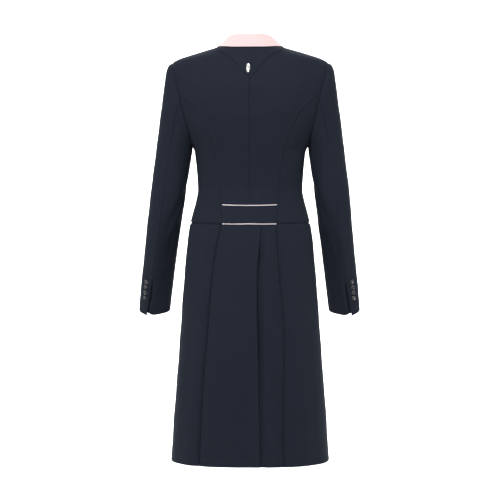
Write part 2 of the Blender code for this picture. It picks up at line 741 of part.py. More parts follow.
def yoke():
    rows, cols = 9, 13
    t = np.linspace(0, 1, rows)
    zs = YOKE[0, 0] + (YOKE[-1, 0] - YOKE[0, 0]) * t**0.9
    edge = np.stack([back_angle(smooth(zs, YOKE[:, 0], YOKE[:, 1]), zs), zs], -1)
    u = np.linspace(-1, 1, cols)
    top = np.stack([edge[-1, 0] * u, YOKE_TOP_Z + (edge[-1, 1] - YOKE_TOP_Z) * np.abs(u) ** 3], -1)
    bottom = np.stack([edge[0, 0] * u, np.full(cols, edge[0, 1])], -1)
    return patch(bottom, top, edge * (-1, 1), edge)


def belt():
    edge = princess_line(np.array([float(waist_z(np.radians(27.0))), -408.0, BELT_TOP_Z]))
    u = np.linspace(-1, 1, 13)
    top = np.stack([edge[-1, 0] * u, BELT_TOP_Z - 1.2 + 1.2 * u**2], -1)
    bottom = np.stack([edge[0, 0] * u, WAIST_Z + (edge[0, 1] - WAIST_Z) * u**2], -1)
    return patch(bottom, top, edge * (-1, 1), edge)


# -------------------------------------------------------------- build it all
for old in list(bpy.data.objects):
    bpy.data.objects.remove(old, do_unlink=True)

coat = bpy.data.collections.new("tailcoat")
bpy.context.scene.collection.children.link(coat)

HALF = SEAM / 2
PIPE_GAP = PIPING_R + SEAM

centre, side, front = back_centre(), back_side(), front_panel()
for word, make in (("right", lambda g: g), ("left", mirrored)):
    panel(f"back_centre_{word}", make(centre), (PIPE_GAP, HALF, HALF, HALF), navy(f"cloth_back_centre_{word}"))
    panel(f"back_side_{word}", make(side), (HALF, HALF, HALF, HALF), navy(f"cloth_back_side_{word}"))
    panel(
        f"front_{word}",
        make(front),
        (HALF, HALF, HALF, 0.0),
        navy(f"cloth_front_{word}"),
        relief=under_lap if word == "left" else None,
    )
    panel(
        f"lapel_{word}",
        make(lapel()),
        (0.0, 0.0, 0.0, 0.0),
        navy(f"cloth_lapel_{word}"),
        lies_on=[f"front_{word}"],
    )

panel(
    "back_yoke_v",
    yoke(),
    (0.0, 0.0, 0.0, 0.0),
    navy("cloth_back_yoke"),
    thick=THIN,
    lies_on=["back_centre_left", "back_centre_right"],
)
panel("half_belt", belt(), (PIPE_GAP, PIPE_GAP, HALF, HALF), navy("cloth_half_belt"))

panel("tail_side_left", skirt_panel(4, 1, 7, side_a=-1), (0.0, HALF, 0.0, HALF), navy("cloth_tail_side_left"), relief=folds)
panel("tail_back_left", skirt_panel(1, 2, 8), (0.0, PIPE_GAP, HALF, 0.0), navy("cloth_tail_back_left"), relief=folds)
panel(
    "tail_back_right",
    skirt_panel(2, 3, 9, shift_a=-42.0),
    (0.0, PIPE_GAP, 0.0, HALF),
    navy("cloth_tail_back_right"),
    relief=lambda p: folds(p) + vent_recess(p),
)
panel("tail_side_right", skirt_panel(3, 4, 7), (0.0, HALF, HALF, 0.0), navy("cloth_tail_side_right"), relief=folds)

for word, way in (("right", 1), ("left", -1)):
    sleeve_piece(f"upper_sleeve_{word}", way, True, navy(f"cloth_upper_sleeve_{word}"))
    sleeve_piece(f"under_sleeve_{word}", way, False, navy(f"cloth_under_sleeve_{word}"))
    for i, k in enumerate(CUFF_BUTTONS, 1):
        at = sleeve_point(np.float64(k), np.float64(CUFF_BUTTON_T))
        n = sleeve_normal(np.float64(k), np.float64(CUFF_BUTTON_T))
        dark = finish_material(f"button_cuff_{word}_{i}", (0.012, 0.014, 0.02), 0.18)
        button = turned(f"cuff_button_{word}_{i}", button_profile(CUFF_BUTTON_D), dark, 16)
        at = (at + n * (CLOTH + 0.85)) * (way, 1, 1) + np.array([float(sway(k, way)), 0.0, 0.0])
        place(button, at, n * (way, 1, 1))

collar(pink("cloth_collar"))
piping("piping_top", 66.0, BELT_TOP_Z - 1.2, BELT_TOP_Z, pink("piping_top_cloth"))
piping("piping_bottom", 64.6, WAIST_Z, float(waist_z(np.radians(27.0))), pink("piping_bottom_cloth"))

for i, z in enumerate((-222.0, -272.0, -322.0, -372.0), 1):
    phi = np.float64(math.pi)
    at, n = form(phi, np.float64(z)), form_normal(phi, np.float64(z))
    dark = finish_material(f"button_front_{i}", (0.012, 0.014, 0.02), 0.18)
    place(turned(f"front_button_{i}", button_profile(FRONT_BUTTON_D), dark, 16), at + n * 0.4, n)

silver = finish_material("stud_metal", (0.78, 0.77, 0.75), 0.25, 1.0)
stud = turned(
    "neck_stud",
    [(0, 12.4), (1.6, 11.0), (3.4, 7.6), (4.7, 3.4), (5.2, 0), (4.7, -3.4), (3.4, -7.6), (1.6, -11.0), (0, -12.4)],
    silver,
    14,
)
stud_at = on_back(np.float64(-2.8), np.float64(-59.4), 4.1)
stud_n = form_normal(back_angle(-2.8, np.float64(-59.4)), np.float64(-59.4))
lean = math.atan2(stud_n[2], -stud_n[1])
stud.matrix_world = (
    Matrix.Translation(Vector(stud_at) * MM) @ Matrix.Rotation(-lean, 4, "X") @ Matrix.Diagonal((1.0, 0.36, 1.0, 1.0))
)
bpy.context.view_layer.update()
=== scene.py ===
"""Looks of the tailcoat: a thin shell of cloth for each sewn piece, on the form
that the solids follow, with its pressed seams, turned edges and soft creases.

Metres in the scene; the tables and the helpers below work in millimetres.
The back of the coat faces -Y and the wearer's left is at -X.
"""

import math

import bpy
import numpy as np
from mathutils import Matrix, Vector
from mathutils.bvhtree import BVHTree


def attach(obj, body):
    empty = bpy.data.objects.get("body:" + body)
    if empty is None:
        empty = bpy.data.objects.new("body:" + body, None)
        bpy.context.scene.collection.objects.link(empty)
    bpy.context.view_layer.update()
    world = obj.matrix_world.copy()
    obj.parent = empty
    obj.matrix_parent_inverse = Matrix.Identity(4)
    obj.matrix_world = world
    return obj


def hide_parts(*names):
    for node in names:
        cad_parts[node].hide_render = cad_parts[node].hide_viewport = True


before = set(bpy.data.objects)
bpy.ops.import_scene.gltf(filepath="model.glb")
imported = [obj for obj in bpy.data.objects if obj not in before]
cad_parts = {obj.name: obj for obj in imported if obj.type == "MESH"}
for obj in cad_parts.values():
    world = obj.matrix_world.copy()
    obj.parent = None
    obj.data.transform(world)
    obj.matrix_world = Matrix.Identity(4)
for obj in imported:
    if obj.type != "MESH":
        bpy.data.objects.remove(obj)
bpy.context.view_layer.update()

MM = 0.001
CLOTH = 1.8
COLLAR_CLOTH = 2.0
THIN = 1.0
SEAM = -0.16  # sewn edges meet, a little into each other, at the seam's groove
LAP_GAP = 1.0
PIPING_R = 1.5
NECK_Z = 8.0
TIP_Z = -35.0
UNDERARM_Z = -240.0
WAIST_Z = -430.5
WAIST_SIDE_RISE = 5.0
BELT_TOP_Z = -384.5
HEM_Z = -1003.0
FRONT_POINT_Z = -464.0
CUFF_BUTTON_D = 11.5
FRONT_BUTTON_D = 15.0
FLOOR_Z = -1400.0  # the shoulder line is carried 1.4 m above the floor
STEP = 4.2  # size of the cloth's mesh cells

# height z, half width a, depth behind b, depth in front f, squareness n
FORM = np.array(
    [
        (-1010.0, 193.0, 140.0, 115.0, 2.55),
        (-900.0, 186.5, 136.0, 113.0, 2.45),
        (-762.0, 176.0, 130.0, 110.0, 2.30),
        (-615.0, 165.8, 122.0, 106.0, 2.22),
        (-517.0, 158.2, 114.0, 103.0, 2.25),
        (-468.0, 153.5, 107.0, 101.0, 2.30),
        (-430.0, 147.2, 98.0, 97.0, 2.30),
        (-400.0, 140.2, 89.0, 92.0, 2.30),
        (-370.0, 132.2, 82.0, 89.0, 2.30),
        (-345.0, 128.0, 79.0, 88.0, 2.30),
        (-311.0, 130.0, 82.0, 92.0, 2.30),
        (-282.0, 132.5, 87.0, 99.0, 2.30),
        (-252.0, 136.0, 93.0, 107.0, 2.30),
        (-240.0, 141.0, 95.0, 110.0, 2.35),
        (-230.0, 147.5, 97.0, 112.0, 2.35),
        (-205.0, 161.0, 101.0, 117.0, 2.40),
        (-165.0, 178.0, 106.0, 116.0, 2.40),
        (-115.0, 193.0, 104.0, 103.0, 2.40),
        (-75.0, 197.0, 94.0, 89.0, 2.35),
        (-50.0, 196.0, 84.0, 78.0, 2.30),
        (-35.0, 190.0, 77.0, 71.0, 2.20),
        (-27.0, 176.6, 73.0, 67.0, 2.15),
        (-17.0, 147.7, 68.0, 62.0, 2.10),
        (-7.4, 117.0, 63.0, 56.0, 2.05),
        (2.5, 81.6, 56.5, 50.0, 2.00),
        (8.0, 62.0, 51.0, 46.0, 2.00),
        (12.0, 52.0, 48.0, 44.0, 2.00),
    ]
)
# princess seam: height z, distance x from the centre back
PRINCESS = np.array(
    [
        (-432.0, 65.5),
        (-381.0, 67.0),
        (-347.0, 69.5),
        (-309.0, 75.0),
        (-265.0, 83.0),
        (-226.0, 92.5),
        (-188.0, 109.0),
        (-156.0, 130.0),
        (-135.0, 151.0),
        (-122.0, 169.2),
    ]
)
# side seam: height z, angle round the ring from the centre back, degrees
SIDE_SEAM = np.array(
    [(-432.0, 102.0), (-345.0, 101.0), (-290.0, 99.0), (-255.0, 94.0), (-240.0, 90.0)]
)
# free edge of a front, past the centre on the other side when x is negative
FRONT_EDGE = np.array(
    [
        (-470.0, -14.0),
        (-235.0, -14.0),
        (-215.0, -10.0),
        (-205.0, -4.0),
        (-190.0, 5.0),
        (-150.0, 21.0),
        (-100.0, 37.0),
        (-50.0, 51.0),
        (-15.0, 58.5),
        (4.0, 62.3),
    ]
)
# lines down the skirt: height z, x of the left pleat, of the vent, of the
# right pleat, and angle of the skirt's front edge
SKIRT = np.array(
    [
        (-1010.0, -119.5, 26.5, 82.5, 98.0),
        (-924.0, -116.0, 25.0, 80.5, 99.0),
        (-847.0, -112.0, 23.0, 80.5, 100.0),
        (-768.0, -107.0, 22.0, 82.0, 101.5),
        (-690.0, -100.0, 20.0, 81.5, 103.0),
        (-622.0, -95.0, 18.5, 78.5, 105.0),
        (-560.0, -88.5, 18.5, 72.5, 107.0),
        (-492.0, -79.0, 23.0, 67.5, 110.0),
        (-428.0, -66.5, 28.5, 65.5, 113.0),
    ]
)
# soft folds of the skirt: x at the waist and at the hem, half width of the
# fold, and its depth at the waist, half way and at the hem (out is positive)
FOLDS = [
    (-66.5, -119.5, 9.0, -0.6, -3.4, -3.0),
    (-88.0, -139.0, 15.0, 0.0, 2.0, 2.6),
    (-46.0, -86.0, 18.0, 0.0, 1.4, 1.2),
    (65.5, 82.5, 8.0, -0.6, -2.6, -2.4),
    (92.0, 112.0, 18.0, 0.0, 1.8, 2.2),
    (48.0, 56.0, 14.0, 0.0, 1.2, 0.8),
    (118.0, 152.0, 14.0, 0.0, -1.4, -2.0),
    (-118.0, -166.0, 12.0, 0.0, -1.2, -1.8),
]
# sleeve sections, right side: outer point x z, inner point x z, middle y,
# half depth, how much lower the back is, share of the plain oval, and the
# place of the back seam and of the front seam, as shares of the way round; the
# inside of the cloth
SLEEVE = np.array(
    [
        (190.5, -35.0, 141.0, -240.0, 0.0, 52.0, 0.0, 0.00, 0.250, 0.690),
        (199.0, -43.0, 141.8, -242.6, 0.0, 52.0, 0.0, 0.10, 0.249, 0.690),
        (204.0, -56.0, 142.3, -244.8, 0.0, 52.5, 0.0, 0.22, 0.248, 0.690),
        (208.0, -84.0, 142.9, -247.6, 0.0, 53.0, 0.0, 0.42, 0.246, 0.690),
        (214.1, -130.0, 143.7, -251.0, 0.0, 53.0, 0.0, 0.66, 0.242, 0.690),
        (221.0, -182.0, 144.6, -257.0, 0.0, 52.0, 0.0, 0.86, 0.237, 0.690),
        (227.8, -238.0, 146.2, -269.0, -1.0, 51.0, 0.0, 1.00, 0.231, 0.690),
        (234.0, -290.0, 149.7, -293.0, -3.0, 49.0, 0.0, 1.00, 0.228, 0.690),
        (240.2, -340.0, 157.0, -340.0, -4.0, 47.0, 0.5, 1.00, 0.230, 0.690),
        (245.2, -385.0, 163.0, -385.0, -1.0, 46.0, 3.0, 1.00, 0.229, 0.690),
        (250.4, -430.0, 169.6, -430.0, 6.0, 45.0, 6.0, 1.00, 0.230, 0.690),
        (256.5, -480.0, 177.9, -480.0, 18.0, 43.0, 9.0, 1.00, 0.225, 0.690),
        (262.8, -530.0, 185.1, -530.0, 32.0, 41.0, 11.0, 1.00, 0.213, 0.690),
        (269.2, -580.0, 192.2, -580.0, 47.0, 39.5, 12.0, 1.00, 0.203, 0.690),
        (275.0, -641.0, 200.4, -641.0, 64.0, 38.0, 13.0, 1.00, 0.183, 0.690),
    ]
)
# how far the sleeves hang over towards the wearer's left: section, shift in x
# of the left sleeve and of the right one
SWAY = np.array(
    [
        (0.0, 0.0, 0.0),
        (6.0, 0.0, 0.0),
        (9.0, -0.7, -0.9),
        (10.0, -1.2, -2.2),
        (12.0, -1.9, -3.8),
        (14.0, -2.5, -4.7),
    ]
)
# shares of the way round the armhole where its pieces meet or bend
ARM_BACK = [0.0, 0.045, 0.09, 0.135, 0.18, 0.2258, 0.25, 0.30, 0.35, 0.40, 0.45, 0.5]
ARM_FRONT = [0.5, 0.5475, 0.595, 0.6425, 0.69, 0.7417, 0.7933, 0.845, 0.8967, 0.9483, 1.0]
JOIN = 5
VENT_START = 12.2
VENT_WIDTH = 0.016
CUFF_BUTTONS = [12.62, 12.87, 13.11, 13.34]
CUFF_BUTTON_T = 0.150
# collar, right half: place on the neck seam as an angle and height (no angle
# where it follows the front's edge), then the roll and the outer edge, x y z
COLLAR = np.array(
    [
        (0.0, 8.0, 0.0, -51.0, 30.2, 0.0, -64.6, -4.5),
        (21.0, 8.0, 22.0, -47.5, 30.4, 30.0, -61.6, -4.4),
        (40.0, 8.0, 39.0, -38.0, 30.4, 57.5, -50.5, -3.8),
        (59.0, 8.0, 48.5, -21.0, 29.8, 74.0, -29.0, -1.2),
        (86.0, 8.0, 52.5, 0.0, 25.6, 80.5, -2.0, 4.2),
        (106.0, 7.0, 53.5, 19.0, 16.5, 84.0, 27.0, 1.0),
        (math.nan, -4.0, 51.5, 38.0, 4.0, 88.0, 46.0, -9.0),
        (math.nan, -20.0, 49.5, 56.0, -11.0, 92.0, 57.5, -25.0),
        (math.nan, -38.0, 46.5, 71.5, -30.0, 93.5, 67.5, -42.0),
        (math.nan, -55.0, 43.5, 83.5, -49.0, 92.5, 76.0, -58.0),
    ]
)
# lapel: height z, x of the roll line, x of the outer edge
LAPEL = np.array(
    [
        (-203.0, 6.0, 11.0),
        (-180.0, 12.5, 38.0),
        (-150.0, 24.5, 65.0),
        (-120.0, 33.5, 86.0),
        (-92.0, 41.5, 102.0),
        (-72.0, 46.5, 113.0),
    ]
)
LAPEL_TOP_IN_Z = -64.0
# V at the back neck: height z and half width
YOKE = np.array(
    [
        (-82.0, 0.6),
        (-71.0, 11.0),
        (-46.0, 32.0),
        (-25.0, 52.0),
        (-14.5, 71.0),
        (-8.5, 78.5),
        (0.0, 81.5),
    ]
)
YOKE_TOP_Z = -3.6

# soft creases of the body, skirt and fronts, each a trough or ridge along a
# line: which side (b behind, f in front), x z of one end, x z of the other,
# how far it bows, half width, and depth (out is positive)
CREASES = [
    ("b", -150.0, -205.0, -104.0, -272.0, 6.0, 9.0, -1.3),
    ("b", -140.0, -232.0, -100.0, -262.0, 4.0, 6.0, 0.8),
    ("b", -128.0, -330.0, -92.0, -352.0, -3.0, 7.0, -0.8),
    ("b", -122.0, -362.0, -84.0, -371.0, -3.0, 6.0, -0.7),
    ("b", -118.0, -352.0, -88.0, -362.0, -3.0, 5.0, 0.6),
    ("b", -150.0, -95.0, -122.0, -190.0, 9.0, 13.0, -1.5),
    ("b", -118.0, -85.0, -98.0, -170.0, 5.0, 16.0, 1.0),
    ("b", -50.0, -250.0, -44.0, -372.0, 2.0, 14.0, -0.8),
    ("b", -24.0, -300.0, -22.0, -376.0, 0.0, 9.0, 0.5),
    ("b", 146.0, -210.0, 106.0, -270.0, -5.0, 8.0, -1.2),
    ("b", 152.0, -225.0, 112.0, -240.0, -4.0, 7.0, 0.8),
    ("b", 126.0, -336.0, 94.0, -354.0, 3.0, 7.0, -0.9),
    ("b", 121.0, -366.0, 86.0, -374.0, 2.0, 6.0, -0.6),
    ("b", 118.0, -356.0, 92.0, -365.0, 2.0, 5.0, 0.5),
    ("b", 152.0, -92.0, 126.0, -180.0, -8.0, 12.0, -1.4),
    ("b", 116.0, -80.0, 100.0, -175.0, -5.0, 15.0, 1.0),
    ("b", 48.0, -262.0, 43.0, -374.0, -2.0, 13.0, -0.7),
    ("b", 26.0, -310.0, 25.0, -378.0, 0.0, 8.0, 0.4),
    ("b", -108.0, -445.0, -124.0, -560.0, -4.0, 12.0, -1.1),
    ("b", -92.0, -450.0, -103.0, -530.0, 2.0, 9.0, 0.8),
    ("b", 104.0, -445.0, 118.0, -545.0, 4.0, 11.0, -1.0),
    ("b", 90.0, -452.0, 98.0, -520.0, -2.0, 8.0, 0.8),
    ("b", 0.0, -470.0, -8.0, -640.0, 4.0, 16.0, 0.9),
    ("b", -30.0, -700.0, -40.0, -1003.0, 5.0, 20.0, 1.5),
    ("b", -62.0, -780.0, -78.0, -1003.0, 4.0, 13.0, -1.2),
    ("b", 4.0, -760.0, 6.0, -1003.0, -4.0, 12.0, -1.0),
    ("b", 55.0, -640.0, 60.0, -1003.0, 3.0, 10.0, 1.0),
    ("b", 130.0, -760.0, 138.0, -1003.0, 5.0, 14.0, 1.5),
    ("b", -150.0, -690.0, -160.0, -1003.0, -5.0, 12.0, 1.4),
    ("f", -122.0, -250.0, -78.0, -312.0, 6.0, 9.0, -1.3),
    ("f", -116.0, -342.0, -70.0, -352.0, 3.0, 7.0, -0.9),
    ("f", -110.0, -362.0, -58.0, -368.0, 2.0, 6.0, 0.7),
    ("f", -108.0, -200.0, -60.0, -290.0, 8.0, 14.0, 1.0),
    ("f", 124.0, -246.0, 82.0, -305.0, -6.0, 9.0, -1.4),
    ("f", 114.0, -338.0, 62.0, -350.0, -3.0, 7.0, -1.0),
    ("f", 112.0, -360.0, 64.0, -369.0, -2.0, 6.0, 0.8),
    ("f", 106.0, -204.0, 56.0, -296.0, -8.0, 14.0, 1.0),
    ("f", 60.0, -322.0, 4.0, -324.0, 3.0, 6.0, -0.7),
    ("f", 56.0, -274.0, 8.0, -272.0, 3.0, 6.0, -0.5),
    ("f", 140.0, -90.0, 118.0, -170.0, -6.0, 12.0, -1.3),
    ("f", -138.0, -94.0, -116.0, -176.0, 6.0, 12.0, -1.2),
    ("f", 60.0, -400.0, 52.0, -462.0, 2.0, 10.0, 0.7),
    ("f", -64.0, -398.0, -52.0, -462.0, 2.0, 10.0, 0.7),
]
# soft creases of a sleeve: left or right, section and share of one end, of the
# other end, half width in mm, and depth (out is positive)
ARM_CREASES = [
    ("left", 2.0, 0.34, 5.2, 0.24, 8.0, -1.3),
    ("left", 2.6, 0.43, 6.2, 0.33, 9.0, -1.6),
    ("left", 3.4, 0.40, 6.6, 0.28, 6.0, 1.0),
    ("left", 8.2, 0.46, 10.4, 0.30, 8.0, -1.7),
    ("left", 9.3, 0.50, 11.6, 0.33, 8.0, -1.5),
    ("left", 8.9, 0.46, 11.0, 0.30, 6.0, 1.1),
    ("left", 7.6, 0.56, 8.8, 0.40, 7.0, -1.2),
    ("left", 8.6, 0.80, 9.6, 0.64, 7.0, -1.8),
    ("left", 9.4, 0.82, 10.1, 0.62, 6.0, -1.6),
    ("left", 9.0, 0.78, 9.8, 0.66, 5.0, 1.2),
    ("left", 1.2, 0.06, 4.6, 0.10, 10.0, 0.7),
    ("left", 11.6, 0.36, 13.2, 0.27, 7.0, 0.8),
    ("right", 2.1, 0.33, 5.0, 0.25, 8.0, -1.2),
    ("right", 2.5, 0.44, 6.0, 0.34, 9.0, -1.7),
    ("right", 3.6, 0.41, 6.8, 0.29, 6.0, 1.0),
    ("right", 8.0, 0.47, 10.2, 0.31, 8.0, -1.6),
    ("right", 9.5, 0.49, 11.9, 0.32, 8.0, -1.6),
    ("right", 8.8, 0.47, 11.1, 0.31, 6.0, 1.0),
    ("right", 7.4, 0.57, 8.7, 0.41, 7.0, -1.3),
    ("right", 8.5, 0.81, 9.5, 0.64, 7.0, -1.7),
    ("right", 9.3, 0.80, 10.2, 0.63, 6.0, -1.7),
    ("right", 8.9, 0.79, 9.8, 0.67, 5.0, 1.2),
    ("right", 1.2, 0.06, 4.4, 0.10, 10.0, 0.7),
    ("right", 11.7, 0.35, 13.3, 0.26, 7.0, 0.8),
]


# ------------------------------------------------------------------ the form
def smooth(x, xs, ys):
    xs, ys = np.asarray(xs, float), np.asarray(ys, float)
    x = np.asarray(x, float)
    h = np.diff(xs)
    d = np.diff(ys) / h
    m = np.zeros(len(xs))
    for i in range(1, len(xs) - 1):
        if d[i - 1] * d[i] > 0:
            w1, w2 = 2 * h[i] + h[i - 1], h[i] + 2 * h[i - 1]
            m[i] = (w1 + w2) / (w1 / d[i - 1] + w2 / d[i])
    m[0], m[-1] = d[0], d[-1]
    k = np.clip(np.searchsorted(xs, x) - 1, 0, len(xs) - 2)
    t = np.clip((x - xs[k]) / h[k], 0, 1)
    return (
        (2 * t**3 - 3 * t**2 + 1) * ys[k]
        + (t**3 - 2 * t**2 + t) * h[k] * m[k]
        + (3 * t**2 - 2 * t**3) * ys[k + 1]
        + (t**3 - t**2) * h[k] * m[k + 1]
    )


def ease(x, low, high):
    t = np.clip((np.asarray(x, float) - low) / (high - low), 0, 1)
    return t * t * (3 - 2 * t)


def ring(z):
    return [smooth(z, FORM[:, 0], FORM[:, c]) for c in range(1, 5)]


def form(phi, z):
    a, b, f, n = ring(z)
    s, c = np.sin(phi), np.cos(phi)
    x = a * np.sign(s) * np.abs(s) ** (2 / n)
    y = -np.where(c > 0, b, f) * np.sign(c) * np.abs(c) ** (2 / n)
    return np.stack([x, y, z + 0 * x], -1)


def unit(v):
    return v / (np.linalg.norm(v, axis=-1, keepdims=True) + 1e-12)


def form_normal(phi, z):
    e, g = 4e-3, 1.2
    du = form(phi + e, z) - form(phi - e, z)
    dv = form(phi, z + g) - form(phi, z - g)
    return unit(np.cross(du, dv))


def back_angle(x, z):
    a, _, _, n = ring(z)
    return np.sign(x) * np.arcsin(np.clip(np.abs(x) / a, 0, 1) ** (n / 2))


def front_angle(x, z):
    return math.pi - back_angle(x, z)


def armhole_x(z):
    return 190.0 + (z - TIP_Z) / (UNDERARM_Z - TIP_Z) * (141.0 - 190.0)


def arm_z(shares):
    turn = np.cos(2 * math.pi * np.asarray(shares))
    return TIP_Z + (UNDERARM_Z - TIP_Z) * (1 - turn) / 2


def waist_z(phi):
    return WAIST_Z + WAIST_SIDE_RISE * ease(np.abs(np.degrees(phi)), 25, 90)


def folds(p):
    x, y, z = p[..., 0], p[..., 1], p[..., 2]
    down = np.clip((WAIST_Z - z) / (WAIST_Z - HEM_Z), 0, 1)
    out = np.zeros_like(x)
    for top, hem, half, d0, d1, d2 in FOLDS:
        line = top + (hem - top) * down**0.8
        depth = smooth(down, [0, 0.5, 1], [d0, d1, d2])
        out += depth * np.exp(-(((x - line) / half) ** 2))
    return out * (y < 20)


def creases(p):
    """How far the creases move each point of the body or skirt."""
    x, y, z = p[..., 0], p[..., 1], p[..., 2]
    out = np.zeros_like(x)
    for side, x0, z0, x1, z1, bow, half, depth in CREASES:
        dx, dz = x1 - x0, z1 - z0
        long = math.hypot(dx, dz)
        t = ((x - x0) * dx + (z - z0) * dz) / long**2
        off = ((x - x0) * dz - (z - z0) * dx) / long + bow * 4 * t * (1 - t)
        ends = ease(t, -0.18, 0.3) * (1 - ease(t, 0.7, 1.18))
        facing = ease(-y if side == "b" else y, 5, 40)
        out += depth * ends * facing * np.exp(-((off / half) ** 2))
    return out


def ripple(p, size, amount, seed):
    """Slow unevenness that pressed cloth keeps: a few crossed waves."""
    out = 0.0
    for i in range(5):
        a = seed * 1.7 + i * 2.399
        k = 2 * math.pi / (size * (1 + 0.35 * i))
        way = (math.cos(a), 0.6 * math.sin(a * 1.3), math.sin(a))
        out = out + np.sin(k * (p[..., 0] * way[0] + p[..., 1] * way[1] + p[..., 2] * way[2]) + a * 5) / (1 + 0.4 * i)
    return amount * out / 2.2


# ---------------------------------------------------------------- the panels
def coons(bottom, top, left, right, u, v):
    """Grid of (angle, height) between four edges, each a function of 0 to 1."""
    b, t, l, r = bottom(u)[None], top(u)[None], left(v)[:, None], right(v)[:, None]
    ends = np.array([0.0, 1.0])
    c00, c10 = bottom(ends)
    c01, c11 = top(ends)
    uu, vv = u[None, :, None], v[:, None, None]
    return (
        (1 - vv) * b
        + vv * t
        + (1 - uu) * l
        + uu * r
        - (1 - uu) * (1 - vv) * c00
        - uu * (1 - vv) * c10
        - (1 - uu) * vv * c01
        - uu * vv * c11
    )


def line(values):
    """A function of 0 to 1 through a list of (angle, height)."""
    values = np.asarray(values, float)
    at = np.linspace(0, 1, len(values))
    return lambda t: np.stack([np.interp(t, at, values[:, i]) for i in (0, 1)], -1)


def steps(length, kinds, step=STEP, keep=()):
    """Places along a width in mm as shares, closer together at worked edges."""
    close = {
        "seam": [0, 0.5, 1.1, 1.9, 3.0, 4.6, 7.0],
        "deep": [0, 0.5, 1.1, 1.9, 3.0, 4.6, 7.0],
        "free": [0, 0.12, 0.4, 0.9, 1.5, 2.4, 4.0, 6.4],
        "open": [0, 0.12, 0.4, 0.9, 1.5, 2.4, 4.0, 6.4],
        "plain": [0, 1.0, 3.0],
    }
    low, high = np.array(close[kinds[0]]), np.array(close[kinds[1]])
    if low[-1] + high[-1] > 0.8 * length:
        scale = 0.8 * length / (low[-1] + high[-1])
        low, high = low * scale, high * scale
    a, b = low[-1], length - high[-1]
    middle = np.linspace(a, b, max(3, int(round((b - a) / step)) + 1))[1:-1]
    s = np.concatenate([low, middle, (length - high)[::-1]]) / length
    for value in keep:
        s[np.argmin(np.abs(s - value))] = value
    return s


def along(p, axis):
    d = np.linalg.norm(np.diff(p, axis=axis), axis=-1)
    pad = [(0, 0), (0, 0)]
    pad[axis] = (1, 0)
    return np.cumsum(np.pad(d, pad), axis=axis)


def groove(s):
    """The dip of a sewn edge at a distance from its seam."""
    return -1.15 * np.exp(-((s / 1.6) ** 2))


def allowance(s):
    """The low ridge over the seam allowance beside it."""
    return 0.18 * ease(s, 1.2, 4.5) * (1 - ease(s, 8, 12))


def edge_work(p, kinds, thick):
    """How far the outer and the inner face move along the normal, for a panel
    whose bottom, top, left and right edges are seams, free or plain."""
    rows, cols = along(p, 0), along(p, 1)
    away = [rows, rows[-1:] - rows, cols, cols[:, -1:] - cols]
    outer, inner = np.zeros(p.shape[:2]), np.zeros(p.shape[:2])
    dip, pull = np.zeros(p.shape[:2]), np.zeros(p.shape[:2])
    for s, kind in zip(away, kinds):
        if kind == "seam":
            dip = np.minimum(dip, groove(s))
            outer += allowance(s)
            pull = np.minimum(pull, -0.9 * np.exp(-((s / 2.2) ** 2)))
        if kind == "deep":  # a seam or fold pressed in, where the cloth hangs from it
            dip = np.minimum(dip, np.minimum(1.8 * groove(s * 0.55), 2.6 * groove(s * 1.15)))
            outer += 1.4 * allowance(s * 0.8)
            pull = np.minimum(pull, -1.9 * np.exp(-((s / 3.2) ** 2)))
        if kind in ("free", "open"):
            r = thick * 0.48
            t = np.clip(s / r, 0, 1)
            drop = r * (1 - np.sqrt(np.clip(1 - (1 - t) ** 2, 0, 1)))
            outer -= drop
            inner += drop
            if kind == "free":
                # the turned edge is a little thicker and ends in a soft step
                outer += 0.22 * ease(s, 0.4, 2.0) * (1 - ease(s, 24, 33))
    return outer + dip, inner + pull


def nudge(p, gaps):
    """Moves the four edges in by their gaps and eases the next rows after."""
    p = p.copy()
    for edge, inner, gap in (
        ((0, slice(None)), (1, slice(None)), gaps[0]),
        ((-1, slice(None)), (-2, slice(None)), gaps[1]),
        ((slice(None), 0), (slice(None), 1), gaps[2]),
        ((slice(None), -1), (slice(None), -2), gaps[3]),
    ):
        if not gap:
            continue
        run, way = p[edge], p[inner] - p[edge]
        tangent = unit(np.gradient(run, axis=0))
        way = way - (way * tangent).sum(1, keepdims=True) * tangent
        way = unit(way)
        p[edge] = run + gap * way
        reach = np.linalg.norm(p[inner] - run, axis=1)
        if gap > 0.45 * reach.min():  # a wide gap shifts its neighbours too
            axis = 0 if isinstance(edge[0], int) else 1
            back = edge[axis] == -1
            q = np.moveaxis(p, axis, 0)
            q = q[::-1] if back else q
            start = run
            d = np.linalg.norm(q - start[None], axis=-1)
            share = np.clip(1 - d / (6.0 * gap), 0, 1)
            share[0] = 0
            q += share[..., None] * gap * way[None]
    return p


def level_at_armhole(p, n):
    """Near an armhole the thickness of the cloth runs in the seam's plane, so
    that the body meets the sleeve all the way through."""
    side = np.where(p[..., 0] < 0, -1.0, 1.0)
    away = np.stack([0.972 * side, 0 * side, -0.235 + 0 * side], -1)
    inside = (190.0 - np.abs(p[..., 0])) * 0.972 + (p[..., 2] - TIP_Z) * 0.235
    near = (1 - ease(inside, 0, 9)) * ease(p[..., 2], UNDERARM_Z - 7, UNDERARM_Z + 4)
    return unit(n - (near * (n * away).sum(-1))[..., None] * away)


outer_faces = {}
flat_sizes = {}
middle_lengths = {}


def grid_faces(rows, cols, shift, flip):
    r, c = np.meshgrid(np.arange(rows - 1), np.arange(cols - 1), indexing="ij")
    a = (r * cols + c).ravel() + shift
    q = np.stack([a, a + 1, a + cols + 1, a + cols], 1)
    return q[:, ::-1] if flip else q


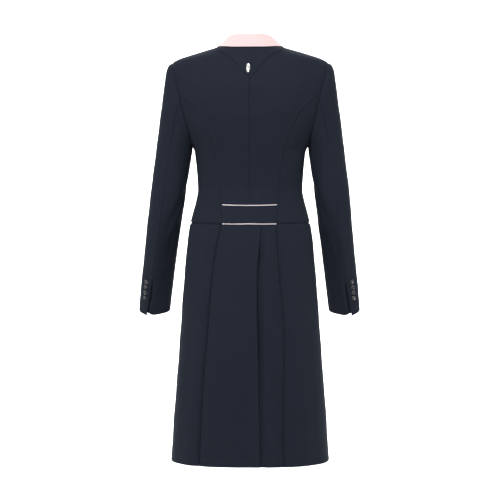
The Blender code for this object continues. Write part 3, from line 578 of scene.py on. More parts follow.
def mesh_object(name, points, faces, coords=None, material=None, sharp=None):
    mesh = bpy.data.meshes.new(name)
    mesh.from_pydata(points.tolist(), [], [list(map(int, f)) for f in faces])
    if coords is not None:
        at = mesh.attributes.new("cut", "FLOAT_VECTOR", "POINT")
        at.data.foreach_set("vector", np.asarray(coords, np.float32).ravel())
    mesh.validate()
    mesh.shade_smooth()
    if sharp:
        mesh.set_sharp_from_angle(angle=math.radians(sharp))
    obj = bpy.data.objects.new(name, mesh)
    bpy.context.scene.collection.objects.link(obj)
    if material:
        mesh.materials.append(material)
    return obj


def wall(name, outer, inner, material, sharp=None):
    """A closed thin shell between two grids. Each point keeps its place on the
    flat cut, in metres, so that the weave follows the cloth."""
    rows, cols = outer.shape[:2]
    n = rows * cols
    mid_r, mid_c = rows // 2, cols // 2
    du = outer[mid_r, mid_c + 1] - outer[mid_r, mid_c - 1]
    dv = outer[mid_r + 1, mid_c] - outer[mid_r - 1, mid_c]
    flip = bool(np.dot(np.cross(du, dv), outer[mid_r, mid_c] - inner[mid_r, mid_c]) < 0)
    across, down = along(outer, 1), along(outer, 0)
    across = across - across[:, mid_c : mid_c + 1]
    down = down - down[mid_r : mid_r + 1]
    across = across * 0.5 + 0.5 * across.mean(0, keepdims=True) * (across[:, -1:] - across[:, :1]) / (
        across.mean(0)[-1] - across.mean(0)[0]
    )
    cut = np.stack([across, down, np.zeros_like(across)], -1).reshape(-1, 3) * MM
    points = np.concatenate([outer.reshape(-1, 3), inner.reshape(-1, 3)]) * MM
    loop = np.array(
        [c for c in range(cols)]
        + [r * cols + cols - 1 for r in range(1, rows)]
        + [(rows - 1) * cols + c for c in range(cols - 2, -1, -1)]
        + [r * cols for r in range(rows - 2, 0, -1)]
    )
    after = np.roll(loop, -1)
    rim = np.stack([loop, loop + n, after + n, after], 1)
    if flip:
        rim = rim[:, ::-1]
    faces = np.concatenate([grid_faces(rows, cols, 0, flip), grid_faces(rows, cols, n, not flip), rim])
    obj = mesh_object(name, points, faces, np.concatenate([cut, cut]), material, sharp)
    a, b, c = outer[:-1, :-1], outer[:-1, 1:], outer[1:, :-1]
    d = outer[1:, 1:]
    area = (
        np.linalg.norm(np.cross(b - a, c - a), axis=-1).sum() + np.linalg.norm(np.cross(b - d, c - d), axis=-1).sum()
    ) / 2
    width, length = float((across[:, -1] - across[:, 0]).max()), float((down[-1] - down[0]).max())
    flat_sizes[name] = (width * MM, length * MM, float(area) * MM * MM)
    middle_lengths[name] = float(down[-1, mid_c] - down[0, mid_c]) * MM
    return obj


def panel(name, phi_z, kinds, gaps, material, thick=CLOTH, lies_on=(), relief=None, waves=0.35, seed=1.0, mirror=False, gap=LAP_GAP, armhole_edge=False):
    phi, z = phi_z[..., 0], phi_z[..., 1]
    if mirror:
        phi = -phi
    p, n = form(phi, z), form_normal(phi, z)
    lift = creases(p) + ripple(p, 70.0, waves, seed)
    if relief is not None:
        lift = lift + relief(p)
    worked = edge_work(p, kinds, thick)
    ends = np.minimum.reduce(
        [np.minimum(ease(s, 0, 14), 1) for s in (along(p, 0), along(p, 0)[-1:] - along(p, 0), along(p, 1), along(p, 1)[:, -1:] - along(p, 1))]
    )
    keep = ripple(p, 70.0, waves, seed)
    lift = lift - keep * (1 - ends)
    p = nudge(p + n * lift[..., None], gaps)
    if armhole_edge:
        n = level_at_armhole(p, n)
    if lies_on:
        p = clear_of(p, lies_on, gap)
        base = p + n * thick
    else:
        base = p
    outer = base + n * worked[0][..., None]
    inner = base - n * (thick - worked[1])[..., None]
    outer_faces[name] = (outer.reshape(-1, 3), grid_faces(*outer.shape[:2], 0, False))
    return wall(name, outer, inner, material)


def clear_of(p, names, gap):
    """Moves points out until they clear the named panels by the gap."""
    trees = []
    for name in names:
        pts, faces = outer_faces[name]
        trees.append(BVHTree.FromPolygons([tuple(q) for q in pts], [list(map(int, f)) for f in faces]))
    flat = p.reshape(-1, 3).copy()
    centre = np.array([0.0, 0.0])
    for _ in range(2):
        for i, q in enumerate(flat):
            near = min((tree.find_nearest(Vector(q)) for tree in trees), key=lambda hit: hit[3])
            normal = np.array(near[1])
            if normal[:2] @ (np.array(near[0])[:2] - centre) < 0 and abs(normal[2]) < 0.7:
                normal = -normal
            if abs(normal[2]) >= 0.7 and normal[2] < 0:
                normal = -normal
            short = gap - float((q - np.array(near[0])) @ normal)
            if short > 0:
                flat[i] = q + normal * short
    return flat.reshape(p.shape)


# ------------------------------------------------------------- the materials
def socket(node, name, value):
    node.inputs[name].default_value = value


class Nodes:
    """A short way to write a material's nodes."""

    def __init__(self, name):
        self.material = bpy.data.materials.new(name)
        self.material.use_nodes = True
        self.tree = self.material.node_tree
        self.shader = self.tree.nodes["Principled BSDF"]

    def add(self, kind, **values):
        node = self.tree.nodes.new(kind)
        for key, value in values.items():
            if hasattr(node, key) and key not in ("Scale", "Detail"):
                setattr(node, key, value)
            else:
                node.inputs[key].default_value = value
        return node

    def link(self, a, b):
        self.tree.links.new(a, b)
        return b

    def math(self, operation, a, b=None, clamp=False):
        node = self.tree.nodes.new("ShaderNodeMath")
        node.operation, node.use_clamp = operation, clamp
        for i, value in enumerate((a, b)):
            if value is None:
                continue
            if isinstance(value, (int, float)):
                node.inputs[i].default_value = value
            else:
                self.link(value, node.inputs[i])
        return node.outputs[0]

    def noise(self, vector, scale, detail=3.0, rough=0.55):
        node = self.add("ShaderNodeTexNoise", Scale=scale, Detail=detail, Roughness=rough)
        self.link(vector, node.inputs["Vector"])
        return node.outputs["Fac"]

    def ramp(self, fac, low, high, a=0.3, b=0.7):
        node = self.tree.nodes.new("ShaderNodeValToRGB")
        node.color_ramp.elements[0].position, node.color_ramp.elements[1].position = a, b
        node.color_ramp.elements[0].color = (*low, 1.0)
        node.color_ramp.elements[1].color = (*high, 1.0)
        self.link(fac, node.inputs["Fac"])
        return node.outputs["Color"]

    def mix(self, fac, a, b, blend="MIX"):
        node = self.tree.nodes.new("ShaderNodeMix")
        node.data_type, node.blend_type = "RGBA", blend
        if isinstance(fac, (int, float)):
            node.inputs[0].default_value = fac
        else:
            self.link(fac, node.inputs[0])
        for i, value in ((6, a), (7, b)):
            if isinstance(value, tuple):
                node.inputs[i].default_value = (*value, 1.0)
            else:
                self.link(value, node.inputs[i])
        return node.outputs[2]

    def bump(self, height, distance, strength, after=None):
        node = self.add("ShaderNodeBump", Strength=strength, Distance=distance)
        self.link(height, node.inputs["Height"])
        if after is not None:
            self.link(after, node.inputs["Normal"])
        return node.outputs["Normal"]

    def cut(self):
        node = self.tree.nodes.new("ShaderNodeAttribute")
        node.attribute_name = "cut"
        return node.outputs["Vector"]

    def turned(self, vector, degrees, stretch=(1.0, 1.0, 1.0)):
        node = self.tree.nodes.new("ShaderNodeMapping")
        node.inputs["Rotation"].default_value = (0, 0, math.radians(degrees))
        node.inputs["Scale"].default_value = stretch
        self.link(vector, node.inputs["Vector"])
        return node.outputs["Vector"]

    def waves(self, vector, per_metre, distortion=0.0, direction="X"):
        node = self.tree.nodes.new("ShaderNodeTexWave")
        node.wave_type, node.bands_direction, node.wave_profile = "BANDS", direction, "SIN"
        node.inputs["Scale"].default_value = per_metre / 20.0 * math.pi * 2 / math.pi
        node.inputs["Distortion"].default_value = distortion
        node.inputs["Detail"].default_value = 1.0
        node.inputs["Detail Scale"].default_value = 3.0
        self.link(vector, node.inputs["Vector"])
        return node.outputs["Fac"]


def worsted(name, colours, sheen, rough, twill_mm=0.9):
    """Fine twill: raised diagonal lines, single threads across them, and a
    faint unevenness of the dye and the nap."""
    m = Nodes(name)
    cut = m.cut()
    twill = m.waves(m.turned(cut, 62.0), 1000.0 / twill_mm, 0.4)
    thread = m.waves(m.turned(cut, -28.0), 1000.0 / (twill_mm * 0.62), 0.6)
    slub = m.noise(m.turned(cut, 0.0, (900.0, 120.0, 1.0)), 1.0, 2.0)
    fuzz = m.noise(cut, 2600.0, 2.0, 0.7)
    cloud = m.noise(cut, 16.0, 4.0)
    patch = m.noise(cut, 5.0, 2.0)
    dark, mid, light = colours
    base = m.mix(m.math("MULTIPLY", slub, 0.55), dark, light)
    base = m.mix(m.math("MULTIPLY", m.math("SUBTRACT", 1.0, twill), 0.34), base, dark)
    base = m.mix(m.math("MULTIPLY", cloud, 0.5), base, mid)
    base = m.mix(m.ramp(fuzz, (0, 0, 0), (0.32, 0.32, 0.32), 0.52, 0.78), base, light)
    m.link(base, m.shader.inputs["Base Color"])
    spread = m.math("ADD", m.math("MULTIPLY", patch, 0.1), rough - 0.05)
    m.link(m.math("ADD", spread, m.math("MULTIPLY", fuzz, 0.08)), m.shader.inputs["Roughness"])
    height = m.math(
        "ADD",
        m.math("MULTIPLY", twill, 0.6),
        m.math("ADD", m.math("MULTIPLY", thread, 0.3), m.math("MULTIPLY", fuzz, 0.35)),
    )
    near = m.bump(height, 0.00010, 0.55)
    m.link(m.bump(cloud, 0.0006, 0.28, near), m.shader.inputs["Normal"])
    socket(m.shader, "Specular IOR Level", 0.10)
    socket(m.shader, "Sheen Weight", sheen)
    socket(m.shader, "Sheen Roughness", 0.5)
    socket(m.shader, "Sheen Tint", (0.62, 0.70, 0.88, 1.0) if colours[2][2] < 0.2 else (1.0, 0.93, 0.93, 1.0))
    return m.material


def satin(name):
    """Piping: satin on the bias, its ribs running slantwise round the cord."""
    m = Nodes(name)
    cut = m.cut()
    rib = m.waves(m.turned(cut, 45.0), 1800.0, 0.5)
    fine = m.noise(cut, 1500.0, 2.0)
    cloud = m.noise(cut, 90.0, 3.0)
    base = m.mix(m.math("MULTIPLY", rib, 0.5), (0.89, 0.75, 0.79), (0.97, 0.90, 0.93))
    base = m.mix(m.math("MULTIPLY", cloud, 0.6), base, (0.96, 0.90, 0.90))
    m.link(base, m.shader.inputs["Base Color"])
    m.link(m.math("ADD", m.math("MULTIPLY", fine, 0.2), 0.22), m.shader.inputs["Roughness"])
    m.link(m.bump(m.math("ADD", rib, m.math("MULTIPLY", fine, 0.5)), 0.00008, 0.5), m.shader.inputs["Normal"])
    socket(m.shader, "Sheen Weight", 0.25)
    socket(m.shader, "Sheen Roughness", 0.3)
    return m.material


def resin(name):
    """Polished dark button with a faint smoky figure and fine scratches."""
    m = Nodes(name)
    place = m.tree.nodes.new("ShaderNodeTexCoord").outputs["Object"]
    smoke = m.noise(m.turned(place, 20.0, (1.0, 2.4, 1.0)), 260.0, 4.0, 0.6)
    scratch = m.noise(m.turned(place, 35.0, (40.0, 900.0, 900.0)), 4.0, 3.0)
    m.link(m.ramp(smoke, (0.005, 0.006, 0.009), (0.026, 0.028, 0.036), 0.35, 0.75), m.shader.inputs["Base Color"])
    m.link(m.math("ADD", m.math("MULTIPLY", scratch, 0.08), 0.05), m.shader.inputs["Roughness"])
    m.link(m.bump(scratch, 0.00002, 0.2), m.shader.inputs["Normal"])
    socket(m.shader, "Specular IOR Level", 0.8)
    socket(m.shader, "Coat Weight", 0.85)
    socket(m.shader, "Coat Roughness", 0.06)
    return m.material


def silver(name):
    m = Nodes(name)
    place = m.tree.nodes.new("ShaderNodeTexCoord").outputs["Object"]
    grain = m.noise(m.turned(place, 0.0, (900.0, 900.0, 60.0)), 3.0, 4.0)
    cloud = m.noise(place, 220.0, 3.0)
    m.link(m.ramp(cloud, (0.62, 0.61, 0.59), (0.86, 0.85, 0.83)), m.shader.inputs["Base Color"])
    m.link(m.math("ADD", m.math("MULTIPLY", grain, 0.22), 0.16), m.shader.inputs["Roughness"])
    m.link(m.bump(grain, 0.00003, 0.3), m.shader.inputs["Normal"])
    socket(m.shader, "Metallic", 1.0)
    return m.material


def twist(name, low, high):
    """Sewing thread: two plies twisted round each other."""
    m = Nodes(name)
    place = m.tree.nodes.new("ShaderNodeTexCoord").outputs["Object"]
    ply = m.waves(m.turned(place, 38.0), 2600.0, 0.3)
    fluff = m.noise(place, 4000.0, 2.0)
    m.link(m.mix(ply, low, high), m.shader.inputs["Base Color"])
    m.link(m.math("ADD", m.math("MULTIPLY", fluff, 0.2), 0.5), m.shader.inputs["Roughness"])
    m.link(m.bump(m.math("ADD", ply, fluff), 0.00006, 0.5), m.shader.inputs["Normal"])
    return m.material


NAVY = worsted(
    "navy_worsted",
    ((0.0105, 0.0137, 0.0226), (0.0156, 0.0197, 0.0312), (0.0218, 0.0268, 0.0405)),
    0.03,
    0.86,
)
PINK = worsted(
    "pink_cloth",
    ((0.78, 0.55, 0.55), (0.875, 0.65, 0.645), (0.915, 0.72, 0.715)),
    0.18,
    0.78,
    0.7,
)
PIPE = satin("pink_satin")
RESIN = resin("dark_resin")
SILVER = silver("plain_silver")
THREAD = twist("navy_thread", (0.010, 0.013, 0.020), (0.030, 0.036, 0.050))


def declare(obj, node, held=None, with_pieces=()):
    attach(obj, "root")
    if node:
        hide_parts(node)
    if held:
        w, l, area = flat_sizes[obj.name]
        area = min(area, w * l)
    return obj


# ------------------------------------------------------------ the body panels
JOIN_Z = float(arm_z(ARM_BACK[JOIN]))
PRINCESS_Z = [BELT_TOP_Z, -345.0, -309.0, -272.0, -236.0, -205.0, -176.0, -151.0, -134.0, JOIN_Z]
BELT_END_Z = float(waist_z(np.radians(27.0)))
SHOULDER_TURN = 6.0


def princess(zs):
    return np.stack([back_angle(smooth(zs, PRINCESS[:, 0], PRINCESS[:, 1]), zs), zs], -1)


def armhole(shares):
    zs = arm_z(shares)
    angle = back_angle(armhole_x(zs), zs)
    return np.stack([np.where(np.asarray(shares) > 0.5, math.pi - angle, angle), zs], -1)


def shoulder(s):
    zs = smooth(s, [0, 0.35, 1], [TIP_Z, -20.0, NECK_Z])
    return np.stack([np.radians(90 + SHOULDER_TURN * (zs - TIP_Z) / (NECK_Z - TIP_Z)), zs], -1)


def side_seam(zs):
    return np.stack([np.radians(smooth(zs, SIDE_SEAM[:, 0], SIDE_SEAM[:, 1])), zs], -1)


def pick(i, ranges):
    """Evaluates an edge made of stretches: (first index, last index, values at
    the indices, function of those values)."""
    i = np.asarray(i, float)
    out = np.zeros(i.shape + (2,))
    for low, high, values, make in ranges:
        here = (i >= low) & (i <= high)
        if here.any():
            out[here] = make(np.interp(i[here], np.arange(low, high + 1), values))
    return out


def centre_outer(t):
    return pick(
        np.asarray(t) * 19,
        [
            (0, 9, PRINCESS_Z, princess),
            (9, 14, ARM_BACK[: JOIN + 1][::-1], armhole),
            (14, 19, np.linspace(0, 1, 6), shoulder),
        ],
    )


def centre_inner(t):
    outer = centre_outer(t)
    return np.stack([0 * outer[:, 1], outer[:, 1] - 1.2 * np.clip(1 - np.asarray(t) * 19, 0, 1)], -1)


def centre_bottom(u):
    u = np.asarray(u)
    return np.stack([centre_outer(np.array([0.0]))[0, 0] * u, BELT_TOP_Z - 1.2 + 1.2 * u**2], -1)


def centre_top(u):
    u = np.asarray(u)
    return np.stack([centre_outer(np.array([1.0]))[0, 0] * u, np.full(u.shape, NECK_Z)], -1)


def side_left(t):
    return princess(np.interp(np.asarray(t) * 11, np.arange(12), [BELT_END_Z, -408.0, *PRINCESS_Z]))


def side_right(t):
    return side_seam(WAIST_Z + WAIST_SIDE_RISE + (UNDERARM_Z - WAIST_Z - WAIST_SIDE_RISE) * np.asarray(t))


def side_top(u):
    return armhole(np.interp(np.asarray(u) * 6, np.arange(7), ARM_BACK[JOIN:]))


def side_bottom(u):
    ends = np.array([side_left(np.array([0.0]))[0, 0], side_right(np.array([0.0]))[0, 0]])
    phi = ends[0] + (ends[1] - ends[0]) * np.asarray(u)
    return np.stack([phi, waist_z(phi)], -1)


def front_left_edge(t):
    return pick(
        np.asarray(t) * 26,
        [
            (0, 11, np.linspace(WAIST_Z + WAIST_SIDE_RISE, UNDERARM_Z, 12), side_seam),
            (11, 21, ARM_FRONT, lambda s: armhole(np.maximum(s, 0.5000001))),
            (21, 26, np.linspace(0, 1, 6), shoulder),
        ],
    )


def front_line(zs):
    x = smooth(zs, FRONT_EDGE[:, 0], FRONT_EDGE[:, 1])
    return np.stack([front_angle(x, zs), zs], -1)


def front_right_edge(t):
    z = front_left_edge(t)[:, 1]
    low = front_left_edge(np.array([0.0]))[0, 1]
    rise = (z - low) / (NECK_Z - low)
    return front_line(z + (FRONT_POINT_Z - low) * (1 - rise) ** 1.5 - 4.0 * rise)


def front_bottom(u):
    a, b = front_left_edge(np.array([0.0]))[0], front_right_edge(np.array([0.0]))[0]
    u = np.asarray(u)
    phi = a[0] + (b[0] - a[0]) * u
    z = waist_z(phi) + (FRONT_POINT_Z - waist_z(1.7)) * ease(np.degrees(phi), 114, 178)
    z = z + (b[1] - (waist_z(b[0]) + (FRONT_POINT_Z - waist_z(1.7)) * ease(np.degrees(b[0]), 114, 178))) * u**8
    return np.stack([phi, z], -1)


def front_top(u):
    a, b = front_left_edge(np.array([1.0]))[0], front_right_edge(np.array([1.0]))[0]
    return a + (b - a) * np.asarray(u)[:, None]


def under_lap(p):
    return -(CLOTH + LAP_GAP) * ease(p[..., 0], -42, -19) * (p[..., 1] > 0)


def body(mirror):
    side = "left" if mirror else "right"
    half, pipe = SEAM / 2, PIPING_R
    u = steps(150, ("seam", "seam"))
    v = steps(430, ("seam", "seam"), keep=(9 / 19, 14 / 19))
    panel(
        f"cloth_back_centre_{side}",
        coons(centre_bottom, centre_top, centre_inner, centre_outer, u, v),
        ("plain", "seam", "seam", "seam"),
        (pipe, half, half, half),
        NAVY,
        seed=1.3 + mirror,
        mirror=mirror,
        armhole_edge=True,
    )
    u = steps(105, ("seam", "seam"))
    v = steps(250, ("seam", "seam"))
    panel(
        f"cloth_back_side_{side}",
        coons(side_bottom, side_top, side_left, side_right, u, v),
        ("deep", "seam", "seam", "seam"),
        (half, half, half, half),
        NAVY,
        seed=2.1 + mirror,
        mirror=mirror,
        armhole_edge=True,
    )
    u = steps(150, ("seam", "free"))
    v = steps(480, ("free", "seam"), keep=(11 / 26, 21 / 26))
    panel(
        f"cloth_front_{side}",
        coons(front_bottom, front_top, front_left_edge, front_right_edge, u, v),
        ("free", "seam", "seam", "free"),
        (half, half, half, 0.0),
        NAVY,
        relief=under_lap if mirror else None,
        seed=3.7 + mirror,
        mirror=mirror,
        armhole_edge=True,
    )


for mirror in (False, True):
    body(mirror)


# ----------------------------------------------------- what lies on the body
def lapel_grid(u, v):
    def out_edge(t):
        zs = LAPEL[0, 0] + (LAPEL[-1, 0] - LAPEL[0, 0]) * np.asarray(t)
        return np.stack([front_angle(smooth(zs, LAPEL[:, 0], LAPEL[:, 2]), zs), zs], -1)

    def in_edge(t):
        zs = LAPEL[0, 0] + (LAPEL_TOP_IN_Z - LAPEL[0, 0]) * np.asarray(t)
        return np.stack([front_angle(smooth(zs, LAPEL[:, 0], LAPEL[:, 1]), zs), zs], -1)

    def low(t):
        a, b = out_edge(np.array([0.0]))[0], in_edge(np.array([0.0]))[0]
        return a + (b - a) * np.asarray(t)[:, None]

    def high(t):
        a, b = out_edge(np.array([1.0]))[0], in_edge(np.array([1.0]))[0]
        return a + (b - a) * np.asarray(t)[:, None]

    return coons(low, high, out_edge, in_edge, u, v)


def lapel_roll(p):
    """The lapel stands up a little towards its roll line."""
    rise = along(p, 1)
    away = rise[:, -1:] - rise
    return 2.4 * np.exp(-((away / 11.0) ** 2)) + 0.5 * np.exp(-((rise / 7.0) ** 2))


for side in ("right", "left"):
    panel(
        f"cloth_lapel_{side}",
        lapel_grid(steps(55, ("free", "free"), 3.6), steps(150, ("free", "free"), 3.6)),
        ("free", "free", "free", "free"),
        (0.0, 0.0, 0.0, 0.0),
        NAVY,
        lies_on=[f"cloth_front_{side}"],
        relief=lapel_roll,
        waves=0.15,
        mirror=side == "left",
    )


def yoke_grid(u, v):
    def edge(t):
        zs = YOKE[0, 0] + (YOKE[-1, 0] - YOKE[0, 0]) * np.asarray(t) ** 0.9
        return np.stack([back_angle(smooth(zs, YOKE[:, 0], YOKE[:, 1]), zs), zs], -1)

    end = edge(np.array([0.0, 1.0]))

    def high(t):
        w = 2 * np.asarray(t) - 1
        return np.stack([end[1, 0] * w, YOKE_TOP_Z + (end[1, 1] - YOKE_TOP_Z) * np.abs(w) ** 3], -1)

    def low(t):
        w = 2 * np.asarray(t) - 1
        return np.stack([end[0, 0] * w, np.full(w.shape, end[0, 1])], -1)

    return coons(low, high, lambda t: edge(t) * (-1, 1), edge, u, v)


panel(
    "cloth_back_yoke_v",
    yoke_grid(steps(90, ("open", "open"), 2.6), steps(80, ("open", "plain"), 2.6)),
    ("open", "plain", "open", "open"),
    (0.0, 0.0, 0.0, 0.0),
    NAVY,
    thick=THIN,
    lies_on=["cloth_back_centre_left", "cloth_back_centre_right"],
    waves=0.1,
    gap=0.35,
)


# the V is as long as its middle line, not as its slanting edges
yoke_w, _, yoke_area = flat_sizes["cloth_back_yoke_v"]
flat_sizes["cloth_back_yoke_v"] = (yoke_w, middle_lengths["cloth_back_yoke_v"] + 0.003, yoke_area)


def belt_grid(u, v):
    def edge(t):
        return princess(np.interp(np.asarray(t) * 2, [0, 1, 2], [BELT_END_Z, -408.0, BELT_TOP_Z]))

    end = edge(np.array([0.0, 1.0]))

    def high(t):
        w = 2 * np.asarray(t) - 1
        return np.stack([end[1, 0] * w, BELT_TOP_Z - 1.2 + 1.2 * w**2], -1)

    def low(t):
        w = 2 * np.asarray(t) - 1
        return np.stack([end[0, 0] * w, WAIST_Z + (end[0, 1] - WAIST_Z) * w**2], -1)

    return coons(low, high, lambda t: edge(t) * (-1, 1), edge, u, v)


panel(
    "cloth_half_belt",
    belt_grid(steps(135, ("seam", "seam"), 3.2), steps(42, ("plain", "plain"), 3.0)),
    ("plain", "plain", "seam", "seam"),
    (PIPING_R, PIPING_R, SEAM / 2, SEAM / 2),
    NAVY,
    waves=0.12,
)


# ------------------------------------------------------------------ the tails
def skirt_edge(column, side=1, shift=0.0):
    def at(t):
        zs = HEM_Z + (WAIST_Z - HEM_Z) * np.asarray(t, float)
        x = smooth(zs, SKIRT[:, 0], SKIRT[:, column])
        phi = (np.radians(x) if column == 4 else back_angle(x + shift, zs)) * side
        top_x = smooth(WAIST_Z, SKIRT[:, 0], SKIRT[:, column])
        top = (np.radians(top_x) if column == 4 else back_angle(top_x + shift, WAIST_Z)) * side
        return np.stack([phi, HEM_Z + (waist_z(top) - HEM_Z) * np.asarray(t, float)], -1)

    return at


def skirt_grid(a, b, u, v):
    ends = np.array([0.0, 1.0])
    (la, ha), (lb, hb) = a(ends), b(ends)

    def low(t):
        return np.stack([la[0] + (lb[0] - la[0]) * np.asarray(t), np.full(np.shape(t), HEM_Z)], -1)

    def high(t):
        phi = ha[0] + (hb[0] - ha[0]) * np.asarray(t)
        return np.stack([phi, waist_z(phi)], -1)

    return coons(low, high, a, b, u, v)


def vent_recess(p):
    down = np.clip((WAIST_Z - p[..., 2]) / (WAIST_Z - HEM_Z), 0, 1)
    at = smooth(p[..., 2], SKIRT[:, 0], SKIRT[:, 2])
    deep = CLOTH + LAP_GAP + smooth(down, [0, 0.1, 0.2, 0.5, 1], [0.0, 2.6, 3.4, 4.2, 2.2])
    past = p[..., 0] - at
    # the fold opens a little below the waist and again half way down
    open_at = 2.6 * np.exp(-(((p[..., 2] + 507.0) / 17.0) ** 2)) + 1.6 * np.exp(-(((p[..., 2] + 690.0) / 70.0) ** 2))
    return -deep * (1 - ease(past, 2, 20)) - open_at * (1 - ease(past, 1, 9))


def vent_flap(p):
    """The upper tail's edge stands off where the fold beneath it opens."""
    at = smooth(p[..., 2], SKIRT[:, 0], SKIRT[:, 2])
    off = 2.2 * np.exp(-(((p[..., 2] + 507.0) / 20.0) ** 2)) + 1.8 * np.exp(-(((p[..., 2] + 690.0) / 80.0) ** 2))
    return off * np.exp(-(((at - p[..., 0]) / 11.0) ** 2))


RELIEF = {
    "cloth_tail_back_left": lambda p: folds(p) + vent_flap(p),
    "cloth_tail_back_right": lambda p: folds(p) + vent_recess(p),
}
TAILS = [
    # name, edge, edge, width, bottom-top-left-right kinds, gaps
    ("cloth_tail_side_left", skirt_edge(4, -1), skirt_edge(1), 150, ("free", "deep", "free", "deep"), (0, 1, 0, 1)),
    ("cloth_tail_back_left", skirt_edge(1), skirt_edge(2), 130, ("free", "plain", "deep", "free"), (0, 2, 1, 0)),
    ("cloth_tail_back_right", skirt_edge(2, 1, -42.0), skirt_edge(3), 100, ("free", "plain", "free", "deep"), (0, 2, 0, 1)),
    ("cloth_tail_side_right", skirt_edge(3), skirt_edge(4), 150, ("free", "deep", "deep", "free"), (0, 1, 1, 0)),
]
for i, (name, a, b, width, kinds, gaps) in enumerate(TAILS):
    u = steps(width, (kinds[2], kinds[3]))
    v = steps(572, (kinds[0], kinds[1]))
    panel(
        name,
        skirt_grid(a, b, u, v),
        kinds,
        [(0.0, SEAM / 2, PIPING_R)[g] for g in gaps],
        NAVY,
        relief=RELIEF.get(name, folds),
        seed=5.0 + i,
        waves=0.45,
    )


# ---------------------------------------------------------------- the sleeves
def sleeve_point(k, t):
    at = np.arange(len(SLEEVE))
    hx, hz, ux, uz, yc, depth, low, oval = (smooth(k, at, SLEEVE[:, c]) for c in range(8))
    theta = 2 * math.pi * np.asarray(t, float)
    c, s = np.cos(theta), np.sin(theta)
    z0 = TIP_Z + (UNDERARM_Z - TIP_Z) * (1 - c) / 2
    a, b, f, n = ring(z0)
    reach = (1 - np.clip(armhole_x(z0) / a, 0, 1) ** n) ** (1 / n)
    loop_y = -np.where(s >= 0, b, -f) * reach
    full = 1 + 0.05 * np.sin(2 * theta) ** 2
    y = (1 - oval) * loop_y + oval * (yc - depth * s * full)
    x = (hx + ux) / 2 + (hx - ux) / 2 * c
    z = (hz + uz) / 2 + (hz - uz) / 2 * c - low * s
    return np.stack([x, y, z + 0 * y], -1)


def sleeve_normal(k, t):
    e, g = 6e-3, 0.12
    last = len(SLEEVE) - 1
    du = sleeve_point(k, t + e) - sleeve_point(k, t - e)
    dv = sleeve_point(np.minimum(k + g, last), t) - sleeve_point(np.maximum(k - g, 0), t)
    return unit(np.cross(du, dv))


def seam_share(k, column):
    return smooth(k, np.arange(len(SLEEVE)), SLEEVE[:, column])


def sway(k, side):
    return smooth(k, SWAY[:, 0], SWAY[:, 1 if side == "left" else 2])


def arm_creases(k, t, side):
    """Troughs and ridges of a sleeve, in its own sections and shares."""
    out = np.zeros_like(k)
    girth = 270.0
    for word, k0, t0, k1, t1, half, depth in ARM_CREASES:
        if word != side:
            continue
        x, y = (t - t0) * girth, (k - k0) * 46.0
        dx, dy = (t1 - t0) * girth, (k1 - k0) * 46.0
        long = math.hypot(dx, dy)
        s = (x * dx + y * dy) / long**2
        off = (x * dy - y * dx) / long + 5.0 * 4 * s * (1 - s)
        ends = ease(s, -0.2, 0.35) * (1 - ease(s, 0.65, 1.2))
        out += depth * ends * np.exp(-((off / half) ** 2))
    return out


